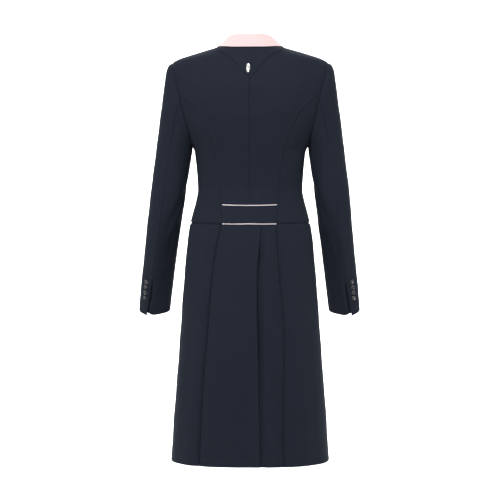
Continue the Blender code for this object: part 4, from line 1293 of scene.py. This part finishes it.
def sleeve(side, upper):
    last = len(SLEEVE) - 1
    length = 640.0
    v = steps(length, ("seam", "free"))
    k = v * last
    # the sections are closer together at the head, so spread the rows evenly
    mid = sleeve_point(np.linspace(0, last, 400), np.full(400, 0.15))
    run = np.concatenate([[0], np.cumsum(np.linalg.norm(np.diff(mid, axis=0), axis=1))])
    k = np.interp(v, run / run[-1], np.linspace(0, last, 400))
    k[np.argmin(np.abs(k - VENT_START))] = VENT_START
    back, front = seam_share(k, 8)[:, None], seam_share(k, 9)[:, None]
    vent = np.clip((k[:, None] - VENT_START) / (last - VENT_START), 0, 1)
    if upper:
        u = steps(150, ("seam", "seam"))[None]
        t = (front - 1) + (back - (front - 1)) * u
    else:
        u = steps(115, ("seam", "seam"))
        tuck = np.linspace(-1, 0, 9)[:-1]  # the vent's underlap, beneath the upper sleeve
        edge = back + VENT_WIDTH * vent
        t = edge + (front - edge) * u[None]
        t = np.concatenate([edge + tuck[None] * (0.0015 + (0.062 + VENT_WIDTH) * ease(vent, 0.0, 0.12)), t], 1)
    kk = k[:, None] + 0 * t
    p, n = sleeve_point(kk, t), sleeve_normal(kk, t)
    away = np.array([0.972, 0.0, -0.235])
    far = run[-1] * v[:, None]
    near = 1 - ease(far, 12, 70)
    n = n - (near * np.minimum(n @ away, 0))[..., None] * away
    first = 1 - ease(far, 0, 5)
    n = unit(n - (first * (n @ away))[..., None] * away)
    lift = arm_creases(kk, t % 1.0 if not upper else np.where(t < 0, t + 1, t), side) * (1 - near)
    lift = lift + ripple(p, 60.0, 0.35, 7.0 + (side == "left") * 2 + upper) * ease(far, 10, 60)
    if not upper:
        under = np.concatenate([tuck, np.zeros(len(u))])[None]
        beyond = along(p, 1)
        beyond = beyond - beyond[:, len(tuck) : len(tuck) + 1]
        # below the elbow the back seam stands out as a soft ridge
        low = ease(kk, 7.5, 11.0) * (under == 0)
        lift = lift + low * (2.4 * np.exp(-((beyond / 10.0) ** 2)) - 4.2 * np.exp(-(((beyond - 31.0) / 17.0) ** 2)))
        # the vent's underlap, and the hollow beside the flap's edge
        lift = lift - 5.0 * np.where(under < 0, 1.0, 1 - ease(beyond, 0.6, 6.0)) * ease(vent, 0.0, 0.5)
    else:
        short = along(p, 1)
        short = short[:, -1:] - short
        lift = lift + ease(kk, 7.5, 11.0) * 2.4 * np.exp(-((short / 10.0) ** 2))
    # the table gives the inside of the cloth, set in at the armhole so that its
    # outside meets the outside of the body there
    p = p + n * (lift + CLOTH * ease(far, -3, 9))[..., None]
    # at the hem the flap hangs a little lower than the underlap beside it
    at_hem = ease(kk, 13.1, 14.0)
    if upper:
        p[..., 2] -= 1.6 * at_hem * np.exp(-((short / 6.0) ** 2))
    else:
        p[..., 2] += 3.4 * at_hem * np.exp(-((np.maximum(beyond, 0) / 8.0) ** 2))
    kinds = ("seam", "free", "seam", "seam")
    outer_move, inner_move = edge_work(p, kinds, CLOTH)
    cols = along(p, 1)
    s_back = cols[:, -1:] - cols if upper else cols
    # below the start of the vent the back edge is turned, not sewn
    free = ease(vent, 0.0, 0.02)
    r = CLOTH * 0.48
    q = np.clip(s_back / r, 0, 1)
    drop = r * (1 - np.sqrt(np.clip(1 - (1 - q) ** 2, 0, 1)))
    outer_move = outer_move - free * (groove(s_back) + allowance(s_back)) - free * drop
    inner_move = inner_move + free * 0.9 * np.exp(-((s_back / 2.2) ** 2)) + free * drop
    gaps = (0.0, 0.0, SEAM / 2, SEAM / 2)
    p = nudge(p, gaps)
    p = p + 2 * SEAM * away * (1 - ease(far, 0, 6))[..., None]
    outer, inner = p + n * outer_move[..., None], p - n * (CLOTH - inner_move)[..., None]
    if side == "left":
        outer, inner = outer * (-1, 1, 1), inner * (-1, 1, 1)
    for face in (outer, inner):
        face[..., 0] += sway(k, side)[:, None]
    name = f"cloth_{'upper' if upper else 'under'}_sleeve_{side}"
    outer_faces[name] = (outer.reshape(-1, 3), grid_faces(*outer.shape[:2], 0, False))
    return wall(name, outer, inner, NAVY)


for side in ("right", "left"):
    sleeve(side, True)
    sleeve(side, False)


# ----------------------------------------------------------------- the collar
def through(sections, count):
    """Smooth curves through each column's section points, evenly sampled."""
    sections = np.asarray(sections)
    d = np.linalg.norm(np.diff(sections, axis=0), axis=-1).mean(1)
    at = np.concatenate([[0], np.cumsum(d)])
    where = np.linspace(0, at[-1], count)
    out = np.zeros((count,) + sections.shape[1:])
    k = np.clip(np.searchsorted(at, where, side="right") - 1, 0, len(at) - 2)
    slope = np.gradient(sections, at, axis=0)
    h = (at[k + 1] - at[k])[:, None, None]
    t = ((where - at[k])[:, None, None]) / h
    out = (
        (2 * t**3 - 3 * t**2 + 1) * sections[k]
        + (t**3 - 2 * t**2 + t) * h * slope[k]
        + (3 * t**2 - 2 * t**3) * sections[k + 1]
        + (t**3 - t**2) * h * slope[k + 1]
    )
    return out


def collar():
    at = np.arange(len(COLLAR))
    s = np.linspace(0, len(COLLAR) - 1, 82)
    seam_z = smooth(s, at, COLLAR[:, 1])
    angle = COLLAR[:, 0].copy()
    on_front = np.isnan(angle)
    angle[on_front] = np.degrees(front_line(COLLAR[on_front, 1])[:, 0])
    phi = np.radians(smooth(s, at, angle))
    seam, normal = form(phi, seam_z), form_normal(phi, seam_z)
    tangent = np.gradient(seam, axis=0)
    away = unit(np.cross(normal, tangent))
    gap = 1.4 + 1.8 * np.exp(-(((s - 5.5) / 0.9) ** 2))
    seam = seam + away * gap[:, None] - normal * CLOTH / 2
    table = np.concatenate([seam, np.stack([smooth(s, at, COLLAR[:, c]) for c in range(2, 8)], -1)], 1)
    whole = np.concatenate([table[:0:-1] * (-1, 1, 1, -1, 1, 1, -1, 1, 1), table])
    stand, roll, edge = whole[:, :3], whole[:, 3:6], whole[:, 6:9]
    # a slow unevenness of the fall's edge and of the roll
    way = np.linspace(-1, 1, len(whole))
    out = edge - stand
    up = unit(roll - stand)
    out = out - (out * up).sum(1, keepdims=True) * up
    out = unit(out)
    base = roll - up * 2.6 + out * 2.8
    fall = [
        edge + (base - edge) * share + out * swell
        for share, swell in ((0.8, 0.8), (0.6, 1.1), (0.4, 1.0), (0.2, 0.6), (0.0, 0.1))
    ]
    under = ["cloth_back_centre_left", "cloth_back_centre_right", "cloth_front_left", "cloth_front_right", "cloth_back_yoke_v"]
    under += ["cloth_lapel_left", "cloth_lapel_right"]
    fall = [clear_of(row[None], under[:5], 0.8 + COLLAR_CLOTH / 2)[0] for row in fall]
    for row in fall:  # even out what lay on an edge beneath, along the collar
        for _ in range(8):
            row[1:-1] = 0.25 * row[:-2] + 0.5 * row[1:-1] + 0.25 * row[2:]
    fall = [clear_of(row[None], under[:5], 0.5 + COLLAR_CLOTH / 2)[0] for row in fall]
    sections = [
        stand,
        stand + (roll - up * 3 - out * 2.6 - stand) * 0.5,
        roll - up * 3.2 - out * 2.6,
        roll - up * 1.4 - out * 2.1,
        roll - up * 0.5 - out * 0.5,
        roll - up * 0.9 + out * 1.2,
        base,
        *fall,
    ]
    mid = through(sections, 44)
    mid[1:-1] = 0.25 * mid[:-2] + 0.5 * mid[1:-1] + 0.25 * mid[2:]  # soften over the roll
    mid[1:-1, 1:-1] = 0.25 * mid[1:-1, :-2] + 0.5 * mid[1:-1, 1:-1] + 0.25 * mid[1:-1, 2:]
    du, dv = np.gradient(mid, axis=1), np.gradient(mid, axis=0)
    n = unit(np.cross(dv, du))
    if n[-4, mid.shape[1] // 2, 1] > 0:
        n = -n
    rows, cols = along(mid, 0), along(mid, 1)
    t = COLLAR_CLOTH
    half = np.full(mid.shape[:2], t / 2)
    for away_from in (rows[-1:] - rows, cols, cols[:, -1:] - cols):
        r = t * 0.5
        q = np.clip(away_from / r, 0, 1)
        half = np.minimum(half, 0.08 + (t / 2 - 0.08) * np.sqrt(np.clip(1 - (1 - q) ** 2, 0, 1)))
        half = half + 0.12 * ease(away_from, 0.5, 2.0) * (1 - ease(away_from, 6, 9))
    return wall("cloth_collar", mid + n * half[..., None], mid - n * half[..., None], PINK)


collar()


# -------------------------------------------------------------- small pieces
def on_back(x, z, lift):
    phi = back_angle(x, z)
    return form(phi, np.float64(z)) + form_normal(phi, np.float64(z)) * lift


def tube(name, path, radius, material, sides=14, squash=None, caps=True):
    """A round piece along a path of points in mm, its ends rounded off."""
    path = np.asarray(path, float)
    n = len(path)
    tangent = unit(np.gradient(path, axis=0))
    up = np.array([0.0, 0.0, 1.0])
    side = unit(np.cross(tangent, up))
    top = np.cross(side, tangent)
    run = np.concatenate([[0], np.cumsum(np.linalg.norm(np.diff(path, axis=0), axis=1))])
    r = np.broadcast_to(np.asarray(radius, float), (n,)).copy()
    ends = np.minimum(run, run[-1] - run)
    q = np.clip(ends / r, 0, 1)
    r = r * np.maximum(0.12, np.sqrt(np.clip(1 - (1 - q) ** 2, 0, 1)))
    theta = np.linspace(0, 2 * math.pi, sides, endpoint=False)
    ring_pts = path[:, None] + r[:, None, None] * (
        np.cos(theta)[None, :, None] * side[:, None] * (squash or 1.0) + np.sin(theta)[None, :, None] * top[:, None]
    )
    pts = np.concatenate([ring_pts.reshape(-1, 3), path[:1], path[-1:]])
    faces = []
    for i in range(n - 1):
        for j in range(sides):
            a, b = i * sides + j, i * sides + (j + 1) % sides
            faces.append((a, b, b + sides, a + sides))
    for j in range(sides):
        faces.append((n * sides, (j + 1) % sides, j))
        faces.append((n * sides + 1, (n - 1) * sides + j, (n - 1) * sides + (j + 1) % sides))
    around = np.broadcast_to(theta[None] * radius if np.isscalar(radius) else theta[None] * 1.5, (n, sides))
    cut = np.stack([around, np.broadcast_to(run[:, None], (n, sides)), 0 * around], -1).reshape(-1, 3)
    cut = np.concatenate([cut, [[0, run[0], 0]], [[0, run[-1], 0]]]) * MM
    return mesh_object(name, pts * MM, faces, cut, material), pts, faces


def piping(name, end_x, z_mid, z_end, hump, seed):
    s = np.linspace(-1, 1, 170)
    z = z_mid + (z_end - z_mid) * s * s
    # it lies a little slack in its seam, its ends drawn up
    z = z - 0.42 * (1 - s * s) * (1 - hump * np.exp(-((s / 0.28) ** 2))) + 0.34 * s**4
    path = np.stack([on_back(end_x * a, b, -0.5) for a, b in zip(s, z)])
    path[:, 2] += 0.04 * np.sin(s * 19 + 2 * seed)
    # close together at the rounded ends
    r = 0.66 * PIPING_R * (1 + 0.06 * np.sin(s * 5.3 + seed) + 0.02 * np.sin(s * 31 + seed))
    return tube(name, path, r, PIPE, sides=16)[0]


piping("trim_piping_top", 66.0, BELT_TOP_Z - 1.2, BELT_TOP_Z, 0.0, 0.4)
piping("trim_piping_bottom", 64.6, WAIST_Z, BELT_END_Z, 1.3, 1.9)


def turned_mesh(profile, count):
    """Points and faces of a closed turned shape, its profile from the middle
    of the top over the rim to the middle underneath."""
    profile = np.asarray(profile, float)
    theta = np.linspace(0, 2 * math.pi, count, endpoint=False)
    body_rows = profile[1:-1]
    pts = [(0, 0, profile[0, 1])]
    for r, z in body_rows:
        pts += [(r * math.cos(a), r * math.sin(a), z) for a in theta]
    pts.append((0, 0, profile[-1, 1]))
    faces = [(0, 1 + j, 1 + (j + 1) % count) for j in range(count)]
    for i in range(len(body_rows) - 1):
        for j in range(count):
            a, b = 1 + i * count + j, 1 + i * count + (j + 1) % count
            faces.append((a, a + count, b + count, b))
    last = len(pts) - 1
    start = 1 + (len(body_rows) - 1) * count
    faces += [(last, start + (j + 1) % count, start + j) for j in range(count)]
    return np.array(pts), faces


def button(name, d, at, normal, spin):
    """A four-hole button: rolled rim, dished face, holes and crossed thread."""
    r = d / 2
    rim = [(0, 1.35)]
    rim += [(0.12 * r * i, 1.35 + 0.02 * i) for i in range(1, 6)]
    rim += [(0.66 * r, 1.62), (0.70 * r, 1.86), (0.745 * r, 2.22)]
    rim += [(0.87 * r + 0.128 * r * math.cos(a), 2.1 + 0.66 * math.sin(a)) for a in np.linspace(2.6, -0.9, 13)]
    rim += [(0.93 * r, 1.0), (0.84 * r, 0.6), (0.7 * r, 0.35), (0.4 * r, 0.22), (0, 0.2)]
    pts, faces = turned_mesh(rim, 44)
    obj = mesh_object(name, pts * MM, faces, None, RESIN, sharp=70)
    hole_at, hole_r = 0.20 * r, 0.085 * r + 0.12
    cutter_pts, cutter_faces = [], []
    for i in range(4):
        a = math.radians(45 + 90 * i)
        ring_theta = np.linspace(0, 2 * math.pi, 14, endpoint=False)
        start = len(cutter_pts)
        for z in (-1.0, 4.0):
            cutter_pts += [
                (hole_at * math.cos(a) + hole_r * math.cos(b), hole_at * math.sin(a) + hole_r * math.sin(b), z)
                for b in ring_theta
            ]
        for j in range(14):
            k = (j + 1) % 14
            cutter_faces.append((start + j, start + k, start + 14 + k, start + 14 + j))
        cutter_faces.append(tuple(start + j for j in range(13, -1, -1)))
        cutter_faces.append(tuple(start + 14 + j for j in range(14)))
    cutter = mesh_object(name + "_holes", np.array(cutter_pts) * MM, cutter_faces)
    cut = obj.modifiers.new("holes", "BOOLEAN")
    cut.operation, cut.object, cut.solver = "DIFFERENCE", cutter, "EXACT"
    bpy.context.view_layer.update()
    mesh = bpy.data.meshes.new_from_object(obj.evaluated_get(bpy.context.evaluated_depsgraph_get()))
    obj.modifiers.clear()
    old = obj.data
    obj.data = mesh
    bpy.data.meshes.remove(old)
    bpy.data.objects.remove(cutter, do_unlink=True)
    mesh.shade_smooth()
    mesh.set_sharp_from_angle(angle=math.radians(50))
    thread_pts, thread_faces = [], []
    for i in range(2):
        a = math.radians(45 + 90 * i)
        for j in (-1, 0, 1):
            off = np.array([-math.sin(a), math.cos(a), 0]) * j * 0.26
            t = np.linspace(-1, 1, 13)
            path = np.stack(
                [
                    math.cos(a) * hole_at * t + off[0],
                    math.sin(a) * hole_at * t + off[1],
                    1.55 + (0.34 + 0.22 * i) * (1 - t**4) - 1.3 * np.abs(t) ** 10,
                ],
                -1,
            )
            tangent = unit(np.gradient(path, axis=0))
            side = unit(np.cross(tangent, [0, 0, 1.0]))
            top = np.cross(side, tangent)
            start = len(thread_pts)
            theta = np.linspace(0, 2 * math.pi, 7, endpoint=False)
            for q, sv, tv in zip(path, side, top):
                thread_pts += [tuple(q + 0.16 * (math.cos(b) * sv + math.sin(b) * tv)) for b in theta]
            for m in range(len(path) - 1):
                for b in range(7):
                    c = (b + 1) % 7
                    thread_faces.append((start + m * 7 + b, start + m * 7 + c, start + (m + 1) * 7 + c, start + (m + 1) * 7 + b))
            thread_faces.append(tuple(start + b for b in range(6, -1, -1)))
            thread_faces.append(tuple(start + (len(path) - 1) * 7 + b for b in range(7)))
    thread = mesh_object(name + "_thread", np.array(thread_pts) * MM, thread_faces, None, THREAD)
    turn = Vector(normal).to_track_quat("Z", "Y").to_matrix().to_4x4()
    world = Matrix.Translation(Vector(at) * MM) @ turn @ Matrix.Rotation(spin, 4, "Z")
    for o in (obj, thread):
        o.matrix_world = world
    return obj, thread


def settle(at, normal, names, lift):
    """Moves a point along its normal to just above the cloth there."""
    best = None
    for name in names:
        pts, faces = outer_faces[name]
        tree = BVHTree.FromPolygons([tuple(q) for q in pts], [list(map(int, f)) for f in faces])
        hit = tree.ray_cast(Vector(at + normal * 30), Vector(-normal), 60)
        if hit[0] is not None:
            height = float((np.array(hit[0]) - at) @ normal)
            best = height if best is None else max(best, height)
    return at + normal * ((best or 0.0) + lift)


made_buttons = []
for side, way in (("right", 1), ("left", -1)):
    for i, k in enumerate(CUFF_BUTTONS, 1):
        at = sleeve_point(np.float64(k), np.float64(CUFF_BUTTON_T)) * (way, 1, 1)
        n = sleeve_normal(np.float64(k), np.float64(CUFF_BUTTON_T)) * (way, 1, 1)
        at = at + np.array([float(sway(k, side)), 0.0, 0.0])
        at = settle(at, n, [f"cloth_upper_sleeve_{side}"], 0.35)
        made_buttons.append((*button(f"button_cuff_{side}_{i}", CUFF_BUTTON_D, at, n, 0.5 * i + way), f"cuff_button_{side}_{i}"))
for i, z in enumerate((-222.0, -272.0, -322.0, -372.0), 1):
    phi = np.float64(math.pi)
    at, n = form(phi, np.float64(z)), form_normal(phi, np.float64(z))
    at = settle(at, n, ["cloth_front_right"], 0.25)
    made_buttons.append((*button(f"button_front_{i}", FRONT_BUTTON_D, at, n, 0.3 * i), f"front_button_{i}"))


def stud():
    """A plain drop-shaped stud: domed, with a beaded rim and a smooth boss."""
    rows, cols = 30, 40
    pts, faces = [], []
    theta = np.linspace(0, 2 * math.pi, cols, endpoint=False)
    long, wide = 12.4, 4.7
    outline = np.stack(
        [wide * np.cos(theta) * (1 + 0.26 * np.sin(theta)), long * np.sin(theta)], -1
    )
    share = np.concatenate([np.linspace(0, 0.80, 18)[1:], np.linspace(0.80, 1.0, 13)[1:]])
    heights = []
    for s in share:
        dome = 2.0 * math.sqrt(max(0.0, 1 - (s / 0.84) ** 2)) if s < 0.8 else 0.62
        bead = 0.9 * math.sqrt(max(0.0, 1 - ((s - 0.91) / 0.09) ** 2))
        heights.append(max(dome, 0.35 + bead))
    pts.append((0, 0, 2.0))
    for s, h in zip(share, heights):
        pts += [(x * s, y * s, h) for x, y in outline]
    pts += [(x * 0.96, y * 0.98, -0.6) for x, y in outline]
    pts.append((0, 0, -0.6))
    n = len(share) + 1
    faces = [(0, 1 + j, 1 + (j + 1) % cols) for j in range(cols)]
    for i in range(n - 1):
        for j in range(cols):
            a, b = 1 + i * cols + j, 1 + i * cols + (j + 1) % cols
            faces.append((a, a + cols, b + cols, b))
    last = len(pts) - 1
    start = 1 + (n - 1) * cols
    faces += [(last, start + (j + 1) % cols, start + j) for j in range(cols)]
    obj = mesh_object("metal_stud", np.array(pts) * MM, faces, None, SILVER, sharp=60)
    phi = back_angle(-2.8, np.float64(-59.4))
    n_ = form_normal(phi, np.float64(-59.4))
    at = settle(form(phi, np.float64(-59.4)), n_, ["cloth_back_yoke_v"], 0.7)
    z_axis = Vector(n_).normalized()
    x_axis = Vector((0, 0, 1)).cross(z_axis).normalized()
    y_axis = z_axis.cross(x_axis)
    turn = Matrix((x_axis, y_axis, z_axis)).transposed().to_4x4()
    obj.matrix_world = Matrix.Translation(Vector(at) * MM) @ turn
    return obj


stud()

# --------------------------------------------------- riding on the root, the solids beneath hidden
get = bpy.data.objects.get
for side in ("left", "right"):
    declare(get(f"cloth_back_centre_{side}"), f"back_centre_{side}", "hung")
    declare(get(f"cloth_back_side_{side}"), f"back_side_{side}", "hung")
    declare(get(f"cloth_front_{side}"), f"front_{side}", "hung")
    declare(get(f"cloth_lapel_{side}"), f"lapel_{side}", "laid")
    declare(get(f"cloth_upper_sleeve_{side}"), f"upper_sleeve_{side}", "hung")
    declare(get(f"cloth_under_sleeve_{side}"), f"under_sleeve_{side}", "hung")
    declare(get(f"cloth_tail_side_{side}"), f"tail_side_{side}", "hung")
    declare(get(f"cloth_tail_back_{side}"), f"tail_back_{side}", "hung")
for word in ("top", "bottom"):
    declare(get(f"trim_piping_{word}"), f"piping_{word}")
declare(get("metal_stud"), "neck_stud")
for obj, thread, node in made_buttons:
    declare(obj, node)
    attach(thread, "root")
declare(get("cloth_back_yoke_v"), "back_yoke_v", "laid", [get("metal_stud")])
declare(
    get("cloth_half_belt"),
    "half_belt",
    "stretched",
    [get("trim_piping_top"), get("trim_piping_bottom")],
)
declare(get("cloth_collar"), "collar", "folded")

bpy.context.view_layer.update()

# ------------------------------------------------------ floor, light, camera
def backdrop():
    """A pale floor that turns up behind into a pale wall, in one sweep."""
    profile = [(-5.0, 0.0)]
    profile += [(y, 0.0) for y in np.linspace(-3.5, 4.5, 9)]
    radius = 2.0
    profile += [
        (4.5 + radius * math.sin(a), radius - radius * math.cos(a)) for a in np.linspace(0.08, math.pi / 2, 20)
    ]
    profile += [(6.5, h) for h in (3.0, 4.5, 6.0)]
    xs = np.linspace(-7, 7, 9)
    pts = np.array([(x, y, z + FLOOR_Z * MM) for y, z in profile for x in xs])
    faces = grid_faces(len(profile), len(xs), 0, False)
    m = Nodes("pale_paper")
    place = m.tree.nodes.new("ShaderNodeTexCoord").outputs["Object"]
    m.link(m.ramp(m.noise(place, 1.2, 2.0), (0.90, 0.90, 0.90), (0.93, 0.93, 0.93)), m.shader.inputs["Base Color"])
    socket(m.shader, "Roughness", 0.9)
    socket(m.shader, "Specular IOR Level", 0.1)
    obj = mesh_object("floor_sweep", pts, faces, None, m.material)


backdrop()


def area_light(name, at, target, size, watts, colour=(1, 1, 1), spread=180.0):
    data = bpy.data.lights.new(name, "AREA")
    data.spread = math.radians(spread)
    data.shape, data.size, data.size_y = "RECTANGLE", size[0], size[1]
    data.energy, data.color = watts, colour
    obj = bpy.data.objects.new(name, data)
    obj.location = at
    obj.rotation_euler = (Vector(target) - Vector(at)).to_track_quat("-Z", "Y").to_euler()
    bpy.context.scene.collection.objects.link(obj)


UPPER = (0.0, 0.0, -0.26)
area_light("key", (-1.0, -2.6, 2.2), UPPER, (0.8, 0.8), 15.4, spread=75.0)
area_light("fill", (1.0, -2.8, 1.8), UPPER, (0.9, 0.9), 7.4, spread=75.0)
for name, x in (("glint_left", -3.1), ("glint_right", 3.1)):
    area_light(name, (x, -0.9, -0.1), (0.0, 0.0, -0.6), (0.1, 0.1), 2.4, spread=60.0)
area_light("top", (0.0, -0.6, 2.4), (0.0, -0.1, -0.3), (1.6, 1.0), 14.0)
area_light("floor_wash", (0.0, 3.4, 2.6), (0.0, 3.4, -1.4), (6.0, 3.0), 420.0)
area_light("wall_wash", (0.0, 2.6, 1.2), (0.0, 6.5, 0.6), (6.0, 2.0), 420.0)

world = bpy.data.worlds.new("studio")
world.use_nodes = True
world.node_tree.nodes["Background"].inputs["Color"].default_value = (1.0, 1.0, 1.0, 1.0)
world.node_tree.nodes["Background"].inputs["Strength"].default_value = 0.06
bpy.context.scene.world = world
bpy.context.scene.view_settings.view_transform = "Standard"

# the photograph's view: 3.2 m away, level, 1.3 degrees round to the right
DISTANCE, TURN, SCALE = 3.2, math.radians(1.3), 0.00245
camera_data = bpy.data.cameras.new("camera")
camera_data.sensor_width = 36.0
camera_data.lens = 36.0 * DISTANCE / (500 * SCALE)
camera_data.shift_x = -0.0004
camera_data.clip_end = 100.0
camera = bpy.data.objects.new("camera", camera_data)
camera.location = (DISTANCE * math.sin(TURN), -DISTANCE * math.cos(TURN), -0.4925)
camera.rotation_euler = (math.pi / 2, 0.0, TURN)
bpy.context.scene.collection.objects.link(camera)
bpy.context.scene.camera = camera
